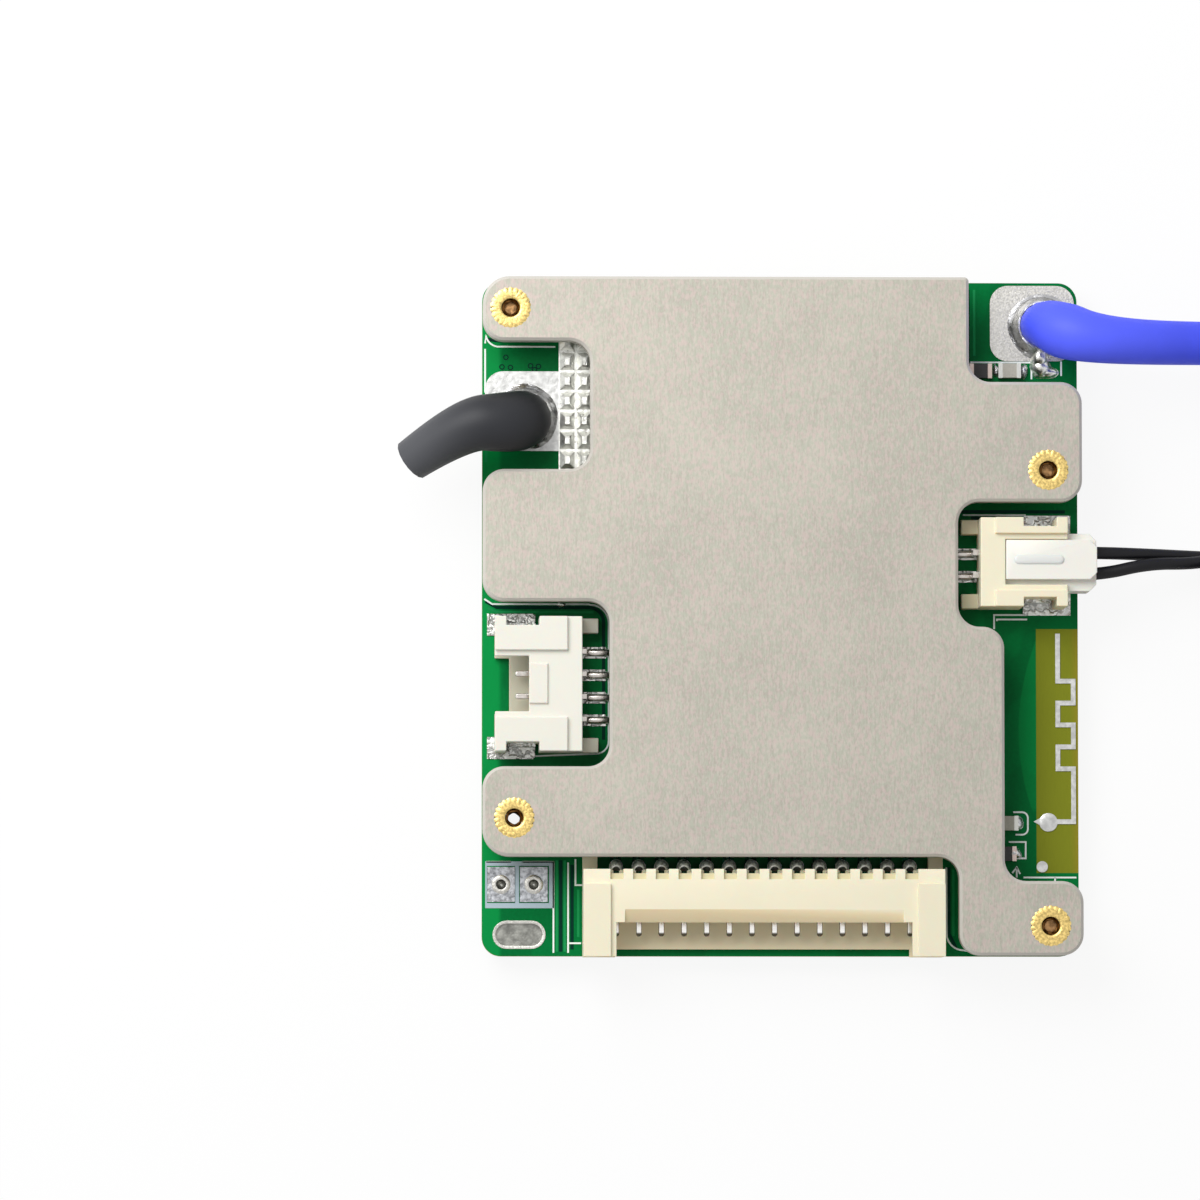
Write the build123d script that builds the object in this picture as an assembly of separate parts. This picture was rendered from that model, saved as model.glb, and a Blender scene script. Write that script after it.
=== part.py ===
from build123d import *
from math import cos, degrees, pi, radians, sin, tan
import os

# A battery management board, in millimetres. The board's centre is the working origin in X and Y,
# Z = 0 is the surface it lies on, and +Y is the edge opposite the balance header. At the end all
# pieces are shifted together, so that the origin is the middle of the object's base.

# Circuit board
board_width = 53.0
board_depth = 60.0
board_thickness = 1.6
board_corner = 1.7
underside_room = 1.4
board_right = board_width / 2
board_back = board_depth / 2
board_bottom = underside_room
board_top = board_bottom + board_thickness
tinning = 0.1

# Plated slot and switch pads at the front left corner
slot_inset_x = 3.3
slot_inset_y = 1.9
slot_length = 4.3
slot_width = 2.1
switch_pad_width = 2.45
switch_pad_depth = 3.1
switch_pad_pitch = 2.9
switch_pad_inset_x = 1.7
switch_pad_inset_y = 6.35
switch_hole_radius = 0.5

# Heat spreader plate
spacer_height = 3.3
plate_thickness = 2.0
plate_corner = 1.9
plate_big_corner = 2.4
plate_sharp_corner = 0.4
plate_edge_chamfer = 0.25
plate_bottom = board_top + spacer_height
plate_top = plate_bottom + plate_thickness

# Side-entry wire-to-board headers
pin_pitch = 2.0
pin_size = 0.5
pin_height = 2.3
header_end = 2.95
header_depth = 7.7
header_height = 5.5
header_back_wall = 1.6
header_floor = 0.7
header_roof = 0.8
cavity_end = 1.6
cavity_height = 3.6
leg_block_height = 0.4
leg_block_inset = 0.5
leg_block_setback = 1.3
rear_foot_width = 1.3
rear_foot_depth = 1.5
rear_foot_height = 1.7
tab_slot_depth = 0.8
tab_slot_length = 2.9
tab_slot_setback = 1.0
tab_thickness = 0.3
tab_height = 2.4
tab_reach = 0.9
pin_setback = 1.8
tail_length = 1.9
anchor_pad_length = 4.1
anchor_pad_width = 1.95
anchor_pad_reach = 0.5
anchor_pad_overhang = 0.65
balance_pad_setback = 0.35
anchor_pad_front = -header_depth - anchor_pad_overhang
balance_pad_front = -header_depth + balance_pad_setback

balance_pin_count = 14
balance_x = -1.65
balance_overhang = 0.1
balance_back_y = -board_back + header_depth - balance_overhang
balance_leg = 2.9
balance_roof = 4.7
balance_lip = 0.7
tail_notch_width = 1.15
tail_notch_depth = 0.9
ramp_inset = 0.75
ramp_depth = 1.15
ramp_drop = 0.6

serial_pin_count = 4
serial_edge_gap = 1.1
serial_from_front = 23.93
serial_back_x = -board_right + serial_edge_gap + header_depth
serial_y = -board_back + serial_from_front
serial_leg = 3.5
serial_roof = 4.7
serial_lip = 1.3
key_pad_depth = 1.65
key_pad_inset = 0.7
key_pad_height = 0.25

sensor_pin_count = 2
sensor_edge_gap = 1.3
sensor_from_back = 25.25
sensor_back_x = board_right - sensor_edge_gap - header_depth
sensor_y = board_back - sensor_from_back
sensor_leg = 1.95
sensor_roof = 2.2
sensor_lip = 0.7

# Room that the plate leaves around the headers and the two lead holes
balance_bay_back = 1.1
balance_bay_side = 1.25
serial_bay_back = 2.4
serial_bay_side = 1.35
sensor_bay_back = 2.0
sensor_bay_front_side = 1.8
sensor_bay_rear_side = 1.4
antenna_bay_step = 4.05
right_foot_depth = 6.55

# Sensor plug
plug_clearance = 0.05
plug_nose = 2.6
plug_ridge_width = 3.5
plug_ridge_offset = 0.2
plug_ridge_height = 0.9
plug_corner = 0.6
plug_rib_length = 3.8
plug_rib_width = 0.3
terminal_size = 1.2
terminal_length = 5.6
flat_tab_width = 1.6
contact_pad_width = 1.0
contact_pad_overhang = 0.3

# Leads
lead_diameter = 3.9
lead_core_diameter = 2.4
lead_core_gap = 0.05
lead_standoff = 0.6
lead_rise = 2.75
lead_hole_gap = 0.15
lead_core_proud = 0.6
battery_hole_inset_x = 3.2
battery_hole_inset_y = 3.9
discharge_hole_inset_x = 3.8
discharge_hole_inset_y = 12.1
solder_ring_radius = 2.7
solder_ring_upper_radius = 2.15
solder_ring_height = 1.6
solder_dome_radius = 2.3
solder_dome_height = 1.1
dome_crown_share = 0.6
core_end_depth = 1.5
battery_pad_width = 7.5
battery_pad_depth = 6.75
discharge_pad_width = 6.55
discharge_pad_depth = 7.1
pad_corner = 1.6
pad_edge_inset = 0.25
discharge_pad_back = 4.1
strip_front = 4.7
battery_cut_left = 6.8
battery_cut_front = 5.4
discharge_bay_right = 5.7
discharge_bay_front = 5.0
discharge_bay_back = 6.4

# Embossed current strip beside the discharge pad
strip_columns = 4
strip_rows = 7
strip_pitch_x = 1.52
strip_pitch_y = 1.76
strip_stud_gap = 0.22
strip_stud_height = 0.4
strip_stud_slope = 48.0

# Printed antenna
trace_width = 0.42
trace_inner_inset = 1.81
trace_outer_inset = 0.43
trace_bay_gap = 0.52
trace_first_run = 4.02
rung_pitch = 1.95
rung_count = 5
trace_last_run = 4.7
feed_pad_inset = 2.75
feed_pad_length = 2.0
feed_pad_width = 1.35
feed_tip_inset = 4.0
test_pad_inset = 3.24
test_pad_foot_gap = 1.4
test_pad_radius = 0.5

# Standoffs and screws, M2
thread_radius = 0.8
standoff_radius = 2.1
knurl_radius = 1.75
knurl_depth = 0.16
knurl_teeth = 20
knurl_groove_reach = 0.4
mouth_chamfer = 0.15
open_inset_x = 2.8
open_inset_y = 3.4
rear_left_inset_x = 2.45
rear_left_inset_y = 2.8
lobe_inset_x = 3.0
lobe_inset_y = 2.8
front_right_inset_x = 2.9
front_right_inset_y = 2.6
screw_hole_radius = 1.2
screw_gap = 0.03
screw_length = 6.0
screw_head_radius = 1.9
screw_cross_width = 0.5
screw_cross_depth = 0.8
screw_cross_reach = 2.2

# Parts under the plate
pad_thickness = 1.0
thermal_pad_row = 34.8
thermal_pad_inset = 0.3
thermal_pad_depth = 23.0
transistor_columns = 4
transistor_rows = 2
transistor_pitch_y = 11.4
transistor_gap = 0.8
transistor_strip_gap = 0.82
transistor_cut_gap = 1.7
transistor_depth = 6.1
transistor_tab_depth = 1.1
transistor_tab_inset = 0.45
transistor_tab_thickness = 0.5
transistor_lead_inset = 0.75
transistor_lead_width = 0.7
transistor_lead_length = 1.6
transistor_height = spacer_height - pad_thickness

# Chips and chip parts on the board: width, depth and height. A spot is its X and its distance behind
# the balance header's bay.
shunt_size = (6.4, 3.2, 0.7)
shunt_spots = [(-8.5, 19.8), (1.5, 19.8)]
front_end_size = (9.7, 4.4, 1.1)
front_end_spot = (-2.5, 5.1)
front_end_lead_count = 14
controller_size = (7.0, 7.0, 1.4)
controller_spot = (-2.5, 13.1)
controller_lead_count = 10
radio_size = (5.0, 5.0, 0.9)
radio_spot = (13.4, 5.7)
crystal_size = (3.2, 2.5, 0.8)
crystal_spot = (7.6, 4.7)
lead_pitch = 0.65
lead_width = 0.25
lead_reach = 0.9
lead_thickness = 0.15
chip_end = 0.35
chip_end_proud = 0.03

capacitor_size = (2.0, 1.25, 0.85)
capacitor_spots = [(7.6, 2.2), (10.2, 9.9)]
resistor_chip_size = (2.0, 1.25, 0.5)
resistor_spots = [(-9.6, 13.3), (-9.6, 10.1)]

# Chip parts in sight: in the window beside the battery pad and in the antenna bay
window_row = 1.4
window_capacitor_gap = 3.95
window_resistor_gap = 1.4
bay_capacitor_gap = 0.55
bay_capacitor_row = 5.25
bay_resistor_gap = 0.4
bay_resistor_row = 2.55

# Parts on the underside
balance_pitch = 2.3
balance_cell_count = 13
resistor_size = (1.6, 3.2, 0.6)
resistor_row = 5.5
small_transistor_size = (1.3, 2.9, 1.0)
small_transistor_row = 10.5
inductor_width = 4.0
inductor_corner = 0.8
inductor_inset_x = 6.6
inductor_inset_y = 12.8
regulator_size = (3.9, 4.9, 1.3)
regulator_behind = 7.6
regulator_lead_count = 4
regulator_lead_pitch = 1.27
diode_size = (4.3, 2.6, 1.1)
diode_inset_x = 14.0
diode_inset_y = 9.5

# Sensor leads and their coil
wire_diameter = 1.1
wire_coil_x = 46.3
wire_coil_y = -0.5
wire_coil_radius = 6.1
wire_coil_turns = 2.25
wire_coil_start = 90.0
wire_tail_length = 4.0
wire_tail_width = 1.0
wire_layer = 1.15
bead_diameter = 2.8
bead_length = 5.5

# Routes of the leads: each inner point takes an arc over this share of its shorter run
bend_share = 0.45

# Battery lead coil: one turn and a bit, the second turn inside the first
lead_coil_x = 76.76
lead_coil_y = -1.21
lead_coil_radius = 21.0
lead_coil_pitch = 4.0
lead_coil_start = 75.0
lead_last_run = 9.0
lead_coil_step_in = 90.0
lead_coil_overlap = 72.0
step_points = 6
lead_tip_length = 5.0


def block(x, y, z, width, depth, height):
    """A box centred on x and y that stands on z."""
    return Pos(x, y, z) * Box(width, depth, height, align=(Align.CENTER, Align.CENTER, Align.MIN))


def span(x0, x1, y0, y1, z0, z1):
    """A box between two corners."""
    return block((x0 + x1) / 2, (y0 + y1) / 2, z0, x1 - x0, y1 - y0, z1 - z0)


def rod(x, y, z, radius, height):
    """An upright cylinder that stands on z."""
    return Pos(x, y, z) * Cylinder(radius, height, align=(Align.CENTER, Align.CENTER, Align.MIN))


def rounded_slab(x, y, z, width, depth, height, corner):
    return Pos(x, y, z) * extrude(RectangleRounded(width, depth, corner), height)


# Where things sit on the board
slot_x = -board_right + slot_inset_x
slot_y = -board_back + slot_inset_y
switch_pads_at = [
    (-board_right + switch_pad_inset_x + column * switch_pad_pitch, -board_back + switch_pad_inset_y)
    for column in range(2)
]
battery_hole = (board_right - battery_hole_inset_x, board_back - battery_hole_inset_y)
discharge_hole = (-board_right + discharge_hole_inset_x, board_back - discharge_hole_inset_y)


def header_width(pins):
    return (pins - 1) * pin_pitch + 2 * header_end


def cavity_width(pins):
    return (pins - 1) * pin_pitch + 2 * cavity_end


def pin_offsets(pins):
    return [(index - (pins - 1) / 2) * pin_pitch for index in range(pins)]


lead_hole_radius = lead_core_diameter / 2 + lead_hole_gap
wire_coil_height = wire_diameter + wire_layer * (1 + 2 * wire_coil_turns)
wire_tail_x = wire_coil_x - wire_tail_length
wire_tail_y = wire_coil_y + wire_coil_radius
battery_pad_x = board_right - pad_edge_inset - battery_pad_width / 2
battery_pad_y = board_back - pad_edge_inset - battery_pad_depth / 2
discharge_pad_x = -board_right + pad_edge_inset + discharge_pad_width / 2
discharge_pad_y = discharge_hole[1] + discharge_pad_back - discharge_pad_depth / 2

# Headers are drawn with the mouth towards -Y and the middle of the back wall at the origin, then
# turned and set on the board.
header_seat = board_top + tinning
balance_seat = Pos(balance_x, balance_back_y, header_seat)
serial_seat = Pos(serial_back_x, serial_y, header_seat) * Rot(0, 0, -90)
sensor_seat = Pos(sensor_back_x, sensor_y, header_seat) * Rot(0, 0, 90)

# Bays of the plate, from what stands in them
front_bay_y = balance_back_y + balance_bay_back
front_bay_x = balance_x + header_width(balance_pin_count) / 2 + balance_bay_side
serial_bay_x = serial_back_x + serial_bay_back
serial_bay_front = serial_y - header_width(serial_pin_count) / 2 - serial_bay_side
serial_bay_rear = serial_y + header_width(serial_pin_count) / 2 + serial_bay_side
discharge_bay_x = discharge_hole[0] + discharge_bay_right
discharge_bay_y0 = discharge_hole[1] - discharge_bay_front
discharge_bay_y1 = discharge_hole[1] + discharge_bay_back
sensor_bay_x = sensor_back_x - sensor_bay_back
sensor_bay_y0 = sensor_y - header_width(sensor_pin_count) / 2 - sensor_bay_front_side
sensor_bay_y1 = sensor_y + header_width(sensor_pin_count) / 2 + sensor_bay_rear_side
antenna_bay_x = sensor_bay_x + antenna_bay_step
antenna_bay_y = -board_back + right_foot_depth
battery_cut_x = battery_hole[0] - battery_cut_left
right_lobe_top = battery_hole[1] - battery_cut_front
standoffs_at = [
    (-board_right + open_inset_x, front_bay_y + open_inset_y),
    (-board_right + rear_left_inset_x, board_back - rear_left_inset_y),
    (board_right - lobe_inset_x, sensor_bay_y1 + lobe_inset_y),
    (board_right - front_right_inset_x, -board_back + front_right_inset_y),
]
open_standoff = standoffs_at[0]
screws_at = standoffs_at[1:]

# Power transistors fill the width between the current strip and the plate's cut at the battery pad
strip_x = discharge_pad_x + discharge_pad_width / 2
transistors_x0 = strip_x + strip_columns * strip_pitch_x + transistor_strip_gap
transistors_x1 = battery_cut_x - transistor_cut_gap
transistor_pitch_x = (transistors_x1 - transistors_x0) / transistor_columns
transistor_width = transistor_pitch_x - transistor_gap
thermal_pad_x = (transistors_x0 + transistors_x1) / 2
thermal_pad_y = front_bay_y + thermal_pad_row
thermal_pad_width = transistors_x1 - transistors_x0 - 2 * thermal_pad_inset
transistors_at = [
    (thermal_pad_x + (column - (transistor_columns - 1) / 2) * transistor_pitch_x,
     thermal_pad_y + (row - (transistor_rows - 1) / 2) * transistor_pitch_y)
    for row in range(transistor_rows) for column in range(transistor_columns)
]


def behind_header(spot):
    x, row = spot
    return x, front_bay_y + row


window_y = right_lobe_top + window_row
capacitors_at = [
    (battery_cut_x + window_capacitor_gap, window_y, 0),
    (antenna_bay_x + bay_capacitor_gap, antenna_bay_y + bay_capacitor_row, 0),
    *[(*behind_header(spot), 0) for spot in capacitor_spots],
]
resistors_at = [
    (battery_cut_x + window_resistor_gap, window_y, 0),
    (antenna_bay_x + bay_resistor_gap, antenna_bay_y + bay_resistor_row, 0),
    *[(*behind_header(spot), 90) for spot in resistor_spots],
]
inductor_at = (-board_right + inductor_inset_x, -board_back + inductor_inset_y)
regulator_at = (inductor_at[0], inductor_at[1] + regulator_behind)
diode_at = (board_right - diode_inset_x, board_back - diode_inset_y)


def circuit_board():
    board = rounded_slab(0, 0, board_bottom, board_width, board_depth, board_thickness, board_corner)
    slot = extrude(SlotOverall(slot_length, slot_width), board_thickness)
    board -= Pos(slot_x, slot_y, board_bottom) * slot
    for x, y in switch_pads_at:
        board -= rod(x, y, board_bottom, switch_hole_radius, board_thickness)
    for x, y in standoffs_at:
        board -= rod(x, y, board_bottom, screw_hole_radius, board_thickness)
    for x, y in (battery_hole, discharge_hole):
        board -= rod(x, y, board_bottom, lead_hole_radius, board_thickness)
    return board


def plate_outline():
    left = -board_right
    right = board_right
    corners = [
        (left, board_back, plate_big_corner),
        (battery_cut_x, board_back, plate_sharp_corner),
        (battery_cut_x, right_lobe_top, plate_corner),
        (right, right_lobe_top, plate_corner),
        (right, sensor_bay_y1, plate_corner),
        (sensor_bay_x, sensor_bay_y1, plate_corner),
        (sensor_bay_x, sensor_bay_y0, plate_corner),
        (antenna_bay_x, sensor_bay_y0, plate_corner),
        (antenna_bay_x, antenna_bay_y, plate_corner),
        (right, antenna_bay_y, plate_corner),
        (right, -board_back, plate_corner),
        (front_bay_x, -board_back, plate_corner),
        (front_bay_x, front_bay_y, plate_corner),
        (left, front_bay_y, plate_big_corner),
        (left, serial_bay_front, plate_corner),
        (serial_bay_x, serial_bay_front, plate_corner),
        (serial_bay_x, serial_bay_rear, plate_corner),
        (left, serial_bay_rear, plate_corner),
        (left, discharge_bay_y0, plate_corner),
        (discharge_bay_x, discharge_bay_y0, plate_corner),
        (discharge_bay_x, discharge_bay_y1, plate_corner),
        (left, discharge_bay_y1, plate_corner),
    ]
    points = [(x, y) for x, y, radius in corners]
    radii = [radius for x, y, radius in corners]
    return make_face(FilletPolyline(*points, radius=radii, close=True))


def heat_spreader():
    plate = Pos(0, 0, plate_bottom) * extrude(plate_outline(), plate_thickness)
    upper_rim = plate.faces().sort_by(Axis.Z)[-1].outer_wire().edges()
    plate = chamfer(upper_rim, plate_edge_chamfer)
    for x, y in standoffs_at:
        plate -= rod(x, y, plate_bottom, knurl_radius, plate_thickness)
    return plate


def knurled_outline():
    """A round outline with shallow saw teeth, which grip the plate."""
    outline = Circle(knurl_radius)
    groove = Pos(knurl_radius - knurl_depth + knurl_groove_reach, 0) * RegularPolygon(knurl_groove_reach, 4)
    for index in range(knurl_teeth):
        outline -= Rot(0, 0, 360 / knurl_teeth * index) * groove
    return outline


def threaded_standoff(x, y):
    """A pressed-in spacer: round body between board and plate, knurled head flush in the plate."""
    body = rod(0, 0, board_top, standoff_radius, spacer_height)
    body += Pos(0, 0, plate_bottom) * extrude(knurled_outline(), plate_thickness)
    body -= rod(0, 0, board_top, thread_radius, spacer_height + plate_thickness)
    mouth = Cone(thread_radius, thread_radius + mouth_chamfer, mouth_chamfer)
    body -= Pos(0, 0, plate_top - mouth_chamfer / 2) * mouth
    return Pos(x, y, 0) * body


def board_screw(x, y):
    """A pan head machine screw that comes up through the board into its standoff."""
    head = rod(0, 0, 0, screw_head_radius, underside_room)
    head = chamfer(head.faces().sort_by(Axis.Z)[0].edges(), underside_room / 3)
    shank = rod(0, 0, underside_room, thread_radius - screw_gap, screw_length)
    tip = shank.faces().sort_by(Axis.Z)[-1].edges()
    screw = head + chamfer(tip, thread_radius / 4)
    for turn in (0, 90):
        arm = block(0, 0, 0, screw_cross_reach, screw_cross_width, screw_cross_depth)
        screw -= Rot(0, 0, turn) * arm
    return Pos(x, y, 0) * screw


def header_housing(pins, leg, roof, lip):
    """Open-fronted moulding: floor, back wall, two legs and a roof that is cut back over the mouth."""
    side = header_width(pins) / 2
    cavity_top = header_floor + cavity_height
    roof_top = cavity_top + header_roof
    front = -header_depth
    housing = span(-side, side, front, 0, 0, roof_top)
    housing -= block(0, (front - header_back_wall) / 2, header_floor, cavity_width(pins),
                     header_depth - header_back_wall, cavity_height)
    mouth = side - leg
    housing -= span(-mouth, mouth, front, -roof, header_floor, roof_top)
    housing -= span(-mouth, mouth, front, front + lip, 0, header_floor)
    for hand in (-1, 1):
        block_width = leg - leg_block_inset
        block_y = (front - leg_block_setback) / 2
        housing += block(hand * (side - block_width / 2), block_y, roof_top, block_width,
                         header_depth - leg_block_setback, leg_block_height)
        foot_x = hand * (side - rear_foot_width / 2)
        housing += block(foot_x, rear_foot_depth / 2, 0, rear_foot_width, rear_foot_depth, rear_foot_height)
    for x in pin_offsets(pins):
        housing -= span(x - pin_size / 2, x + pin_size / 2, -header_back_wall, 0,
                        pin_height - pin_size / 2, pin_height + pin_size / 2)
    return housing


def side_tab_slots(housing, pins):
    """Slots in both cheeks, where the solder tabs sit."""
    side = header_width(pins) / 2
    slot_y0 = -header_depth + tab_slot_setback
    for hand in (-1, 1):
        x = hand * (side - tab_slot_depth / 2)
        housing -= block(x, slot_y0 + tab_slot_length / 2, 0, tab_slot_depth, tab_slot_length, header_height)
    return housing


def header_contacts(pins):
    """Square pins through the back wall, bent down to feet on the board behind it."""
    half = pin_size / 2
    contacts = []
    for x in pin_offsets(pins):
        bar = span(x - half, x + half, -header_depth + pin_setback, pin_size, pin_height - half,
                   pin_height + half)
        tip = bar.faces().sort_by(Axis.Y)[0].edges()
        bar = chamfer(tip, pin_size / 4)
        drop = span(x - half, x + half, 0, pin_size, 0, pin_height - half)
        foot = span(x - half, x + half, pin_size, tail_length, 0, pin_size / 2)
        contacts.append(bar + drop + foot)
    return Compound(children=contacts)


def header_tabs(pins):
    """A solder tab in each cheek: an upright leaf with a foot that reaches out over its pad."""
    side = header_width(pins) / 2
    root = side - tab_slot_depth
    middle_y = -header_depth + tab_slot_setback + tab_slot_length / 2
    length = tab_slot_length - 2 * tab_thickness
    tabs = []
    for hand in (-1, 1):
        leaf = block(hand * (root + tab_thickness / 2), middle_y, 0, tab_thickness, length, tab_height)
        foot = block(hand * (root + tab_thickness + tab_reach / 2), middle_y, 0, tab_reach, length,
                     tab_thickness)
        tabs.append(leaf + foot)
    return Compound(children=tabs)


def header_pads(pins, reach, front):
    """Tinned pads under a header: one at the front of each cheek and one under each contact's foot."""
    side = header_width(pins) / 2
    pads = []
    for hand in (-1, 1):
        x = hand * (side + reach - anchor_pad_width / 2)
        pads.append(block(x, front + anchor_pad_length / 2, -tinning, anchor_pad_width, anchor_pad_length,
                          tinning))
    for x in pin_offsets(pins):
        pads.append(block(x, tail_length / 2 + contact_pad_overhang / 2, -tinning, contact_pad_width,
                          tail_length + contact_pad_overhang, tinning))
    return pads


def key_pad(housing, pins, leg, roof):
    """A low raised panel on the front of the roof."""
    mouth = header_width(pins) / 2 - leg
    roof_top = header_floor + cavity_height + header_roof
    reach = mouth - key_pad_inset
    return housing + span(-reach, reach, -roof, -roof + key_pad_depth, roof_top, roof_top + key_pad_height)


def serial_housing():
    housing = header_housing(serial_pin_count, serial_leg, serial_roof, serial_lip)
    housing = key_pad(housing, serial_pin_count, serial_leg, serial_roof)
    return side_tab_slots(housing, serial_pin_count)


def sensor_housing():
    housing = header_housing(sensor_pin_count, sensor_leg, sensor_roof, sensor_lip)
    return side_tab_slots(housing, sensor_pin_count)


def balance_housing():
    """The long housing: notches over its tails and a ramp down to the mouth."""
    housing = header_housing(balance_pin_count, balance_leg, balance_roof, balance_lip)
    roof_top = header_floor + cavity_height + header_roof
    over_pins = pin_height + pin_size / 2
    for x in pin_offsets(balance_pin_count):
        housing -= span(x - tail_notch_width / 2, x + tail_notch_width / 2, -tail_notch_depth, 0, over_pins,
                        roof_top)
    reach = header_width(balance_pin_count) / 2 - balance_leg - ramp_inset
    wedge = Polyline((-balance_roof, roof_top - ramp_drop), (-balance_roof, roof_top),
                     (-balance_roof + ramp_depth, roof_top), close=True)
    ramp = extrude(Plane.YZ * make_face(wedge), reach, both=True)
    return housing - ramp - balance_tabs()


def balance_tabs():
    """Flat solder tabs let into the underside of the long housing's legs."""
    x = header_width(balance_pin_count) / 2 - flat_tab_width / 2
    y = -header_depth + tab_slot_setback + tab_slot_length / 2
    return Compound(children=[
        block(hand * x, y, 0, flat_tab_width, tab_slot_length, tab_thickness) for hand in (-1, 1)
    ])


def plug_body_depths():
    """Where the plug's body starts, where its ridge starts and where its nose ends."""
    return -header_back_wall - plug_clearance, -sensor_roof - plug_clearance, -header_depth - plug_nose


def sensor_plug_housing():
    inner, ridge_inner, nose = plug_body_depths()
    width = cavity_width(sensor_pin_count) - 2 * plug_clearance
    low = header_floor + plug_clearance
    high = header_floor + cavity_height - plug_clearance
    body = span(-width / 2, width / 2, nose, inner, low, high)
    body = chamfer(body.edges().filter_by(Axis.Z).group_by(Axis.Y)[0], plug_corner)
    ridge_x0 = plug_ridge_offset - plug_ridge_width / 2
    ridge_x1 = plug_ridge_offset + plug_ridge_width / 2
    ridge = span(ridge_x0, ridge_x1, nose, ridge_inner, high, high + plug_ridge_height)
    body += chamfer(ridge.edges().filter_by(Axis.Z).group_by(Axis.Y)[0], plug_corner)
    rib_y = (ridge_inner + nose) / 2
    body += block(plug_ridge_offset, rib_y, high + plug_ridge_height, plug_rib_width, plug_rib_length,
                  plug_rib_width / 2)
    chamber = terminal_size + 2 * plug_clearance
    for x in pin_offsets(sensor_pin_count):
        body -= block(x, (inner + nose) / 2, pin_height - chamber / 2, chamber, inner - nose, chamber)
    return body


def sensor_terminals():
    """Contacts in the plug's chambers, each hollow around its header pin."""
    inner = plug_body_depths()[0]
    pin_tip = -header_depth + pin_setback
    half = terminal_size / 2
    socket = pin_size / 2 + plug_clearance
    terminals = []
    for x in pin_offsets(sensor_pin_count):
        terminal = span(x - half, x + half, inner - terminal_length, inner, pin_height - half,
                        pin_height + half)
        terminal -= span(x - socket, x + socket, pin_tip - plug_clearance, inner, pin_height - socket,
                         pin_height + socket)
        terminals.append(terminal)
    return Compound(children=terminals)


def battery_pad():
    pad = rounded_slab(battery_pad_x, battery_pad_y, board_top, battery_pad_width, battery_pad_depth, tinning,
                       pad_corner)
    return pad - rod(*battery_hole, board_top, lead_hole_radius, tinning)


def discharge_pad():
    outline = Rectangle(discharge_pad_width, discharge_pad_depth)
    outline = fillet(outline.vertices().group_by(Axis.X)[0], pad_corner)
    pad = Pos(discharge_pad_x, discharge_pad_y, board_top) * extrude(outline, tinning)
    return pad - rod(*discharge_hole, board_top, lead_hole_radius, tinning)


def current_strip():
    """A tinned strip with rows of low pyramids, which carries current past the discharge pad."""
    y0 = discharge_hole[1] - strip_front
    strip = span(strip_x, strip_x + strip_columns * strip_pitch_x, y0, y0 + strip_rows * strip_pitch_y,
                 board_top, board_top + tinning)
    stud_foot = Rectangle(strip_pitch_x - strip_stud_gap, strip_pitch_y - strip_stud_gap)
    stud = extrude(stud_foot, strip_stud_height, taper=strip_stud_slope)
    for column in range(strip_columns):
        for row in range(strip_rows):
            x = strip_x + (column + 0.5) * strip_pitch_x
            y = y0 + (row + 0.5) * strip_pitch_y
            strip += Pos(x, y, board_top + tinning) * stud
    return strip


def switch_pads():
    pads = []
    for x, y in switch_pads_at:
        pad = block(x, y, board_top, switch_pad_width, switch_pad_depth, tinning)
        pads.append(pad - rod(x, y, board_top, switch_hole_radius, tinning))
    return Compound(children=pads)


def antenna_trace():
    """A square meander down the bare strip, its diamond feed pad and the test pad beside it."""
    here = board_right - trace_inner_inset
    there = board_right - trace_outer_inset
    top_y = sensor_bay_y0 - trace_bay_gap
    corners = [(here, top_y)]
    for rung in range(rung_count):
        y = top_y - trace_first_run - rung * rung_pitch
        corners += [(here, y), (there, y)]
        here, there = there, here
    feed_y = corners[-1][1] - trace_last_run
    feed_x = board_right - feed_pad_inset
    corners += [(here, feed_y), (feed_x, feed_y)]
    half = trace_width / 2
    copper = []
    for start, end in zip(corners, corners[1:]):
        x0, x1 = sorted((start[0], end[0]))
        y0, y1 = sorted((start[1], end[1]))
        copper.append(span(x0 - half, x1 + half, y0 - half, y1 + half, board_top, board_top + tinning))
    diamond = make_face(Polyline(
        (board_right - feed_tip_inset, feed_y),
        (feed_x, feed_y + feed_pad_width / 2),
        (feed_x + feed_pad_length / 2, feed_y),
        (feed_x, feed_y - feed_pad_width / 2),
        close=True,
    ))
    feed = Pos(0, 0, board_top) * extrude(diamond, tinning)
    trace = copper[0].fuse(*copper[1:], feed).clean()
    test_pad = rod(board_right - test_pad_inset, antenna_bay_y + test_pad_foot_gap, board_top,
                   test_pad_radius, tinning)
    return Compound(children=[trace, test_pad])


def power_transistor(x, y):
    """A flat power package: moulded body, drain tab behind it and three legs in front."""
    package = block(x, y, board_top, transistor_width, transistor_depth, transistor_height)
    back = y + transistor_depth / 2
    front = y - transistor_depth / 2
    tab_width = transistor_width - 2 * transistor_tab_inset
    package += block(x, back + transistor_tab_depth / 2, board_top, tab_width, transistor_tab_depth,
                     transistor_tab_thickness)
    lead_x = transistor_width / 2 - transistor_lead_inset
    for column in (-1, 0, 1):
        package += block(x + column * lead_x, front - transistor_lead_length / 2, board_top,
                         transistor_lead_width, transistor_lead_length, transistor_tab_thickness)
    return package


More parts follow.
